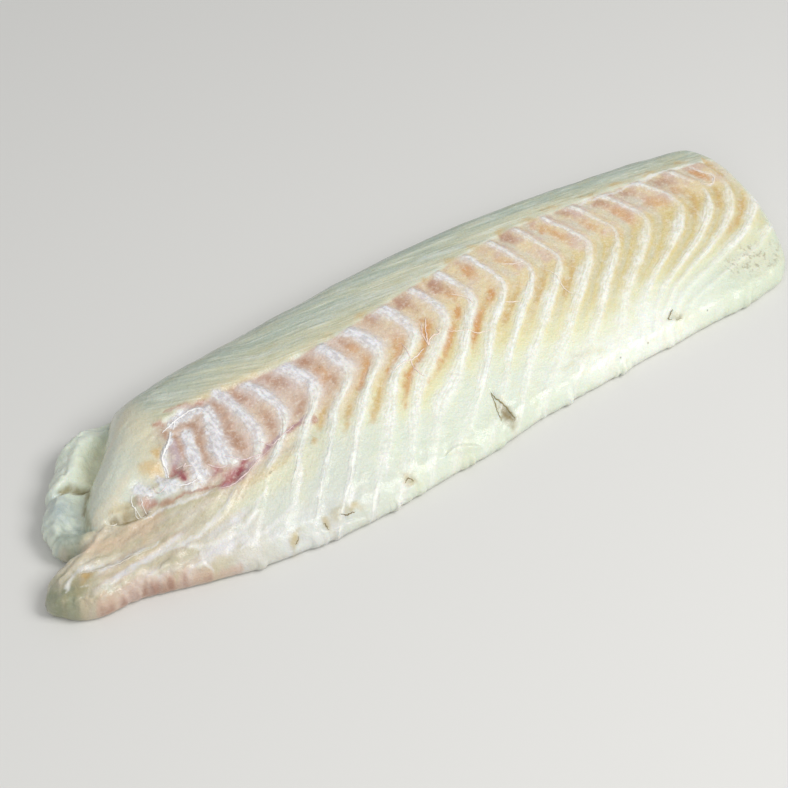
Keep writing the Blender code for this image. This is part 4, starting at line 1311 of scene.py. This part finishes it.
# %% White marks, broken up by the grain, and the sheets' colours
links = {0: grain["fine"], 1: 0.9, 2: field["white_mark"]}
near = node(tree, "ShaderNodeMath", links, operation="MULTIPLY_ADD")
links = {"Value": near, "From Min": 0.30, "From Max": 0.95, "To Max": 0.85}
mark = node(tree, "ShaderNodeMapRange", links, **SMOOTH)
even_white = node(tree, "ShaderNodeMath", {0: white, 1: mark}, operation="MAXIMUM")
torn = node(tree, "ShaderNodeMath", {0: grain["fine"], 1: grain["fibres"]}, operation="ADD")
links = {"Value": torn, "From Min": 0.72, "From Max": 1.12, "To Min": 0.58}
broken = node(tree, "ShaderNodeMapRange", links)
white = node(tree, "ShaderNodeMath", {0: even_white, 1: broken}, operation="MULTIPLY")
# each sheet's white goes from grey-lilac to near white by grain: partly its own uneven white, partly
# painted glints of the wet film and painted shade of its fine ridges
links = {"Value": torn, "From Min": 0.72, "From Max": 1.18}
bright = node(tree, "ShaderNodeMapRange", links, **SMOOTH)
SHEET_WHITES_AND_GLINTS = {"leg": ("#dedfd4", "#f5f6ee"), "arm": ("#c8c8cf", "#efeff0")}
sheet = {}
for name, shades in SHEET_WHITES_AND_GLINTS.items():
    links = {0: bright, COLOUR_A: linear(shades[0]), COLOUR_B: linear(shades[1])}
    sheet[name] = node(tree, "ShaderNodeMix", links, COLOUR_OUT, data_type="RGBA")
links = {0: field["arm"], COLOUR_A: sheet["leg"], COLOUR_B: sheet["arm"]}
sheet_colour = node(tree, "ShaderNodeMix", links, COLOUR_OUT, data_type="RGBA")
links = {0: white, COLOUR_A: colour, COLOUR_B: sheet_colour}
colour = node(tree, "ShaderNodeMix", links, COLOUR_OUT, data_type="RGBA")

# %% Threads, cracks and the speckled corner
# field, how much grain frays it, where it starts and is full, thickness, colour
RAGGED_MARKS = [
    ("thread", 0.7, 0.30, 1.45, 0.75, "#e9e8e4"),
    ("crack", 0.5, 0.30, 1.20, 0.80, "#75623a"),
]
for name, ragged, start, end, thickness, hex_colour in RAGGED_MARKS:
    links = {0: grain["fine"], 1: ragged, 2: field[name]}
    near = node(tree, "ShaderNodeMath", links, operation="MULTIPLY_ADD")
    links = {"Value": near, "From Min": start, "From Max": end, "To Max": thickness}
    mask = node(tree, "ShaderNodeMapRange", links, **SMOOTH)
    links = {0: mask, COLOUR_A: colour, COLOUR_B: linear(hex_colour)}
    colour = node(tree, "ShaderNodeMix", links, COLOUR_OUT, data_type="RGBA")
specks = node(tree, "ShaderNodeMath", {0: grain["fine"], 1: grain["middle"]}, operation="ADD")
links = {"Value": specks, "From Min": 1.0, "From Max": 1.22}
specks = node(tree, "ShaderNodeMapRange", links, **SMOOTH)
links = {"Value": field["speckled"], "From Min": 0.0, "From Max": 0.6, "To Max": 0.62}
corner = node(tree, "ShaderNodeMapRange", links, **SMOOTH)
specks = node(tree, "ShaderNodeMath", {0: specks, 1: corner}, operation="MULTIPLY")
links = {0: specks, COLOUR_A: colour, COLOUR_B: linear("#a59f86")}
colour = node(tree, "ShaderNodeMix", links, COLOUR_OUT, data_type="RGBA")
tree.links.new(colour, shader.inputs["Base Color"])

# %% Wet surface: fine bumps, gloss and light under the surface
fibre_height = node(tree, "ShaderNodeMath", {0: grain["fibres"], 1: in_muscle}, operation="MULTIPLY")
streak_height = node(tree, "ShaderNodeMath", {0: grain["streaks"], 1: field["strip"]}, operation="MULTIPLY")
height = grain["micro"]
for value, rise in ((even_white, 1.3), (fibre_height, 0.7), (grain["middle"], 1.5), (streak_height, 1.6)):
    height = node(tree, "ShaderNodeMath", {0: value, 1: rise, 2: height}, operation="MULTIPLY_ADD")
bump = node(tree, "ShaderNodeBump", {"Height": height, "Strength": 0.70, "Distance": 0.0004})
tree.links.new(bump, shader.inputs["Normal"])
links = {"Value": grain["fine"], "From Min": 0.30, "From Max": 0.70, "To Min": 0.26, "To Max": 0.42}
tree.links.new(node(tree, "ShaderNodeMapRange", links), shader.inputs["Roughness"])
WET_FLESH = {
    "IOR": 1.38, "Subsurface Weight": 0.35, "Subsurface Radius": (1.0, 0.75, 0.5),
    "Subsurface Scale": 0.0025, "Coat Weight": 0.55, "Coat Roughness": 0.12, "Coat IOR": 1.33,
}
for name, value in WET_FLESH.items():
    shader.inputs[name].default_value = value
print("nodes in the flesh's material:", len(tree.nodes))

# %% [markdown]
# ## Loose threads
#
# The knife tears thin membranes, and their ends lie on the flesh as fine wet threads, pale or pink.
# Along the small cuts of the belly edge they have dried to thin brown rims. Both stand out from the
# flesh, so they are a piece of their own: each is a ring of six points drawn along a line on the
# surface, pressed in by two thirds of its radius, uneven in thickness and thinner at both ends.

# %% Threads: colour, radius in mm, points
LOOSE_THREADS = [
    # over the first flakes behind the middle
    ("#fbe4d4", 0.30, [(4.2, 5.5), (1.6, 1.0), (0.7, -4.2), (3.4, 1.6), (7.0, 7.0)]),
    ("#fce9da", 0.26, [(7.6, 1.2), (7.4, -1.6), (4.8, -1.4), (3.0, -2.0), (1.0, -4.4)]),
    ("#fcefe0", 0.20, [(10.4, -2.0), (15.0, -3.6), (20.6, -7.0), (26.3, -9.3)]),
    ("#fcf0e4", 0.20, [(35.8, 0.1), (40.0, -0.8), (44.3, -2.6)]),
    ("#fcf2e4", 0.20, [(62.0, 6.0), (64.0, 1.0), (63.4, -4.0), (64.6, -9.0)]),
    ("#fbeee6", 0.22, [(-17.9, -8.2), (-12.0, -7.0), (-6.8, -6.4), (-1.4, -4.4)]),
    ("#f6e2d8", 0.22, [(-8.0, 1.0), (-8.6, -5.0), (-10.0, -10.0), (-9.0, -15.0)]),
    ("#fbeee0", 0.20, [(22.0, 12.0), (26.0, 8.0), (27.0, 3.0)]),
    ("#fcf0e4", 0.20, [(48.0, 16.0), (53.0, 13.0), (57.0, 12.0)]),
    # the fringe between the nose and the blood area
    ("#fbfaf2", 0.22, [(-125.8, -4.9), (-127.6, -8.5), (-126.8, -10.9), (-125.3, -13.3)]),
    ("#fbfaf2", 0.18, [(-127.1, -9.4), (-127.8, -11.0), (-126.1, -13.0)]),
    ("#fcfbf4", 0.20, [(-124.0, -8.2), (-124.6, -11.0), (-122.6, -13.6)]),
    ("#f3e2dd", 0.22, [(-107.6, -3.7), (-104.0, -5.0), (-105.2, -5.5), (-102.0, -7.1)]),
    ("#f3e6e2", 0.22, [(-118.0, -6.5), (-117.8, -8.9), (-115.5, -9.2), (-113.2, -8.2)]),
    ("#fcfbf8", 0.46, BLOOD_THREAD),
    ("#fcfbf8", 0.36, [(-104.6, 9.8), (-100.6, 11.3), (-95.1, 12.7), (-91.0, 12.6), (-87.9, 11.4)]),
    ("#fbfaf8", 0.22, [(-100.9, 9.0), (-98.6, 11.6), (-97.2, 13.6)]),
    ("#f0dedd", 0.22, [(-90.6, -9.8), (-87.0, -13.4), (-84.2, -14.6), (-79.0, -15.6)]),
    ("#f3dfdb", 0.22, [(-97.6, -9.0), (-94.6, -12.6), (-90.4, -13.6)]),
    ("#fcfaf8", 0.24, [(-112.4, -9.0), (-109.0, -11.6), (-104.6, -12.4), (-101.2, -10.4)]),
    ("#e8d2cf", 0.24, [(-99.6, -20.0), (-95.0, -20.6), (-88.4, -19.6), (-82.0, -17.0), (-75.0, -14.9)]),
    ("#eedbd8", 0.20, [(-77.4, -10.6), (-74.0, -13.6), (-68.6, -12.6), (-62.4, -10.6)]),
    # dried rims of the small cuts on the belly edge
    ("#a5986c", 0.20, [(10.9, -29.7), (10.2, -33.0), (9.3, -36.3), (8.4, -39.4), (8.0, -41.0)]),
    ("#9c8e60", 0.24, [(10.9, -29.7), (11.6, -33.5), (12.8, -37.0), (13.6, -41.6)]),
    ("#a09676", 0.24, [(96.9, -30.6), (94.6, -31.8), (93.1, -32.7), (93.9, -34.0)]),
    ("#aaa284", 0.20, [(95.4, -34.7), (97.8, -35.0)]),
    ("#8a7a50", 0.17, [(-38.2, -45.9), (-37.0, -45.2), (-35.8, -45.3), (-34.9, -46.4)]),
    ("#85744a", 0.20, [(-66.0, -46.5), (-64.0, -46.9), (-62.0, -46.8), (-60.4, -47.3)]),
    ("#958760", 0.16, [(-73.0, -45.9), (-72.2, -46.8), (-72.0, -48.0)]),
    ("#8a7a50", 0.15, [(-85.4, -47.0), (-84.0, -46.3), (-83.0, -45.4)]),
    # folds in the flap, and the tail's small loop
    ("#f6f4ea", 0.22, [(-138.6, -7.4), (-137.0, -8.6), (-134.6, -9.4)]),
    ("#ebe5d6", 0.13, [(-157.0, -21.0), (-148.0, -24.4), (-140.0, -25.2), (-130.0, -25.4)]),
    ("#f4e8da", 0.20, TAIL_LOOP),
]
RING_POINTS = 6
THREAD_STEPS = 6             # between two points
THREAD_SUNK = 0.65           # of its radius
THREAD_STIR = 0.10           # mm, from each step to the next
THREAD_UNEVEN = (0.65, 1.35)
OVER_ALL = 1.0               # metres, above any part of the flesh
thread_draw = np.random.default_rng(17)


def ground_height(x, y):
    """Height of the flesh, in mm, at a place in the marks' plan."""
    start = Vector(((x + to_solid[0]) * MM, (y + to_solid[1]) * MM, OVER_ALL))
    hit = flesh_tree.ray_cast(start, Vector((0.0, 0.0, -1.0)))[0]
    return hit.z / MM if hit else UNDER_ROUND


def draw_thread(bm, hex_colour, radius, points):
    """One thread: a ring drawn along a smooth line on the flesh, thinner at both ends."""
    line = along(points, np.linspace(0.0, 1.0, THREAD_STEPS * (len(points) - 1) + 1))
    line = line + thread_draw.normal(0.0, THREAD_STIR, line.shape)
    thickness = thread_draw.uniform(*THREAD_UNEVEN, len(line))
    lift = radius * (1 - THREAD_SUNK)
    places = [Vector((x, y, ground_height(x, y) + lift)) for x, y in line]
    frames = []
    for k, place in enumerate(places):
        ahead = places[min(k + 1, len(places) - 1)] - places[max(k - 1, 0)]
        thin = TAPER + (1 - TAPER) * math.sqrt(math.sin(math.pi * k / (len(places) - 1)))
        thin = thin * thickness[k]
        turned = ahead.to_track_quat("Z", "Y").to_matrix().to_4x4()
        frames.append(Matrix.Translation(place) @ turned @ Matrix.Diagonal((thin, thin, thin, 1.0)))
    first = len(bm.verts)
    ring = bmesh.ops.create_circle(bm, cap_ends=True, segments=RING_POINTS, radius=radius, matrix=frames[0])
    edges = ring["verts"][0].link_faces[0].edges[:]
    for last, following in zip(frames[:-1], frames[1:]):
        grown_part = bmesh.ops.extrude_edge_only(bm, edges=edges)["geom"]
        verts = [part for part in grown_part if isinstance(part, bmesh.types.BMVert)]
        edges = [part for part in grown_part if isinstance(part, bmesh.types.BMEdge)]
        bmesh.ops.transform(bm, verts=verts, matrix=following @ last.inverted())
    bmesh.ops.edgeloop_fill(bm, edges=edges)
    bm.verts.ensure_lookup_table()
    for vert in bm.verts[first:]:
        vert[bm.verts.layers.float_color["paint"]] = linear(hex_colour)


# %% Wet membrane
membrane = bpy.data.materials.new("wet_membrane")
membrane.use_nodes = True
tree = membrane.node_tree
shader = tree.nodes["Principled BSDF"]
place = node(tree, "ShaderNodeTexCoord", out="Object")
links = {"Vector": place, "Scale": 1.0 / (GRAINS_MM["fine"] * MM)}
grain_here = node(tree, "ShaderNodeTexNoise", links)
links = {"Value": grain_here, "From Min": 0.45, "From Max": 0.70, "To Max": 0.35}
shade = node(tree, "ShaderNodeMapRange", links, **SMOOTH)
own = node(tree, "ShaderNodeAttribute", out="Color", attribute_name="paint")
links = {0: shade, COLOUR_A: own, COLOUR_B: linear("#c8bdb4")}
own = node(tree, "ShaderNodeMix", links, COLOUR_OUT, data_type="RGBA", blend_type="MULTIPLY")
tree.links.new(own, shader.inputs["Base Color"])
for name, value in {**WET_FLESH, "Subsurface Weight": 0.0, "Roughness": 0.34}.items():
    shader.inputs[name].default_value = value

# %% Draw the threads
faces = [polygon.vertices for polygon in flesh_mesh.polygons]
flesh_tree = BVHTree.FromPolygons([vertex.co for vertex in flesh_mesh.vertices], faces)
bm = bmesh.new()
bm.verts.layers.float_color.new("paint")
for hex_colour, radius, points in LOOSE_THREADS:
    draw_thread(bm, hex_colour, radius, points)
bmesh.ops.translate(bm, verts=bm.verts[:], vec=Vector(to_solid))
bmesh.ops.scale(bm, verts=bm.verts[:], vec=(MM, MM, MM))
# extruded faces come in another order in each run, so they are put in order along the fillet
bm.faces.sort(key=lambda face: face.calc_center_median().x)
bmesh.ops.recalc_face_normals(bm, faces=bm.faces[:])
threads_mesh = bpy.data.meshes.new("membrane_threads")
bm.to_mesh(threads_mesh)
bm.free()
threads_mesh.shade_smooth()
threads_mesh.materials.append(membrane)
membrane_threads = bpy.data.objects.new("membrane_threads", threads_mesh)
bpy.context.scene.collection.objects.link(membrane_threads)
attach(membrane_threads, "root")
triangles = sum(len(polygon.vertices) - 2 for polygon in threads_mesh.polygons)
print("loose threads", len(LOOSE_THREADS), "triangles", triangles)

# %% [markdown]
# ## Dressing the solid
#
# The fine skin is shown in place of the plain solid and rides with it. Its one slot is the flesh.

# %% Dress the solid
fillet_flesh = bpy.data.objects.new("fillet_flesh", flesh_mesh)
bpy.context.scene.collection.objects.link(fillet_flesh)
flesh_mesh.materials.append(flesh)
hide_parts("fillet")
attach(fillet_flesh, "root")

# %% [markdown]
# ## Floor, light and camera
#
# A plain pale floor and soft light keep the eye on the fish. The main lamp stands in front, a little
# to the tail side, so the belly flank is bright and the back strip falls into soft shade. The camera
# looks down at 45 degrees through a long lens.

# %% Floor
FLOOR_HALF = 3.0      # metres, so that its rim stays out of every view
floor_mesh = bpy.data.meshes.new("floor")
bm = bmesh.new()
bmesh.ops.create_grid(bm, x_segments=1, y_segments=1, size=FLOOR_HALF)
bm.to_mesh(floor_mesh)
bm.free()
floor = bpy.data.objects.new("floor", floor_mesh)
bpy.context.scene.collection.objects.link(floor)
paper = bpy.data.materials.new("matt_paper")
paper.use_nodes = True
shader = paper.node_tree.nodes["Principled BSDF"]
shader.inputs["Base Color"].default_value = linear("#dddcd8")
shader.inputs["Roughness"].default_value = 0.9
floor_mesh.materials.append(paper)
floor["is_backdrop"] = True


# %% Lights
def lamp(name, place, aim, size, watts):
    """A square soft light that looks at a point."""
    data = bpy.data.lights.new(name, "AREA")
    data.shape = "SQUARE"
    data.size = size
    data.energy = watts
    light = bpy.data.objects.new(name, data)
    light.location = place
    light.rotation_euler = (Vector(aim) - Vector(place)).to_track_quat("-Z", "Y").to_euler()
    bpy.context.scene.collection.objects.link(light)


# place, aim, size in metres and watts
lamp("key_light", (0.45, -0.62, 0.95), (0.02, 0.0, 0.0), 0.60, 9.0)
lamp("fill_light", (-0.60, -0.65, 0.85), (-0.05, 0.0, 0.0), 0.90, 3.8)
world = bpy.data.worlds.new("soft_room")
bpy.context.scene.world = world
world.use_nodes = True
background = world.node_tree.nodes["Background"]
background.inputs["Color"].default_value = linear("#e4e5e7")
background.inputs["Strength"].default_value = 0.50
bpy.context.scene.view_settings.view_transform = "Standard"

# %% Camera
CAMERA_PLACE = (-0.33804, -0.48173, 0.58396)
CAMERA_AIM = (-0.01064, 0.00183, 0.0)
camera_data = bpy.data.cameras.new("camera")
camera_data.lens = 100.0
camera_data.sensor_width = 36.0
camera = bpy.data.objects.new("camera", camera_data)
camera.location = CAMERA_PLACE
camera.rotation_euler = (Vector(CAMERA_AIM) - Vector(CAMERA_PLACE)).to_track_quat("-Z", "Y").to_euler()
bpy.context.scene.collection.objects.link(camera)
bpy.context.scene.camera = camera

# %% Compare the sizes and finish
low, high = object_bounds()
grows = [round((a - b) / MM, 2) for a, b in zip([*low, *high], [*cad_low, *cad_high])]
print("the low and high corners of the box move by mm", grows[:3], grows[3:])
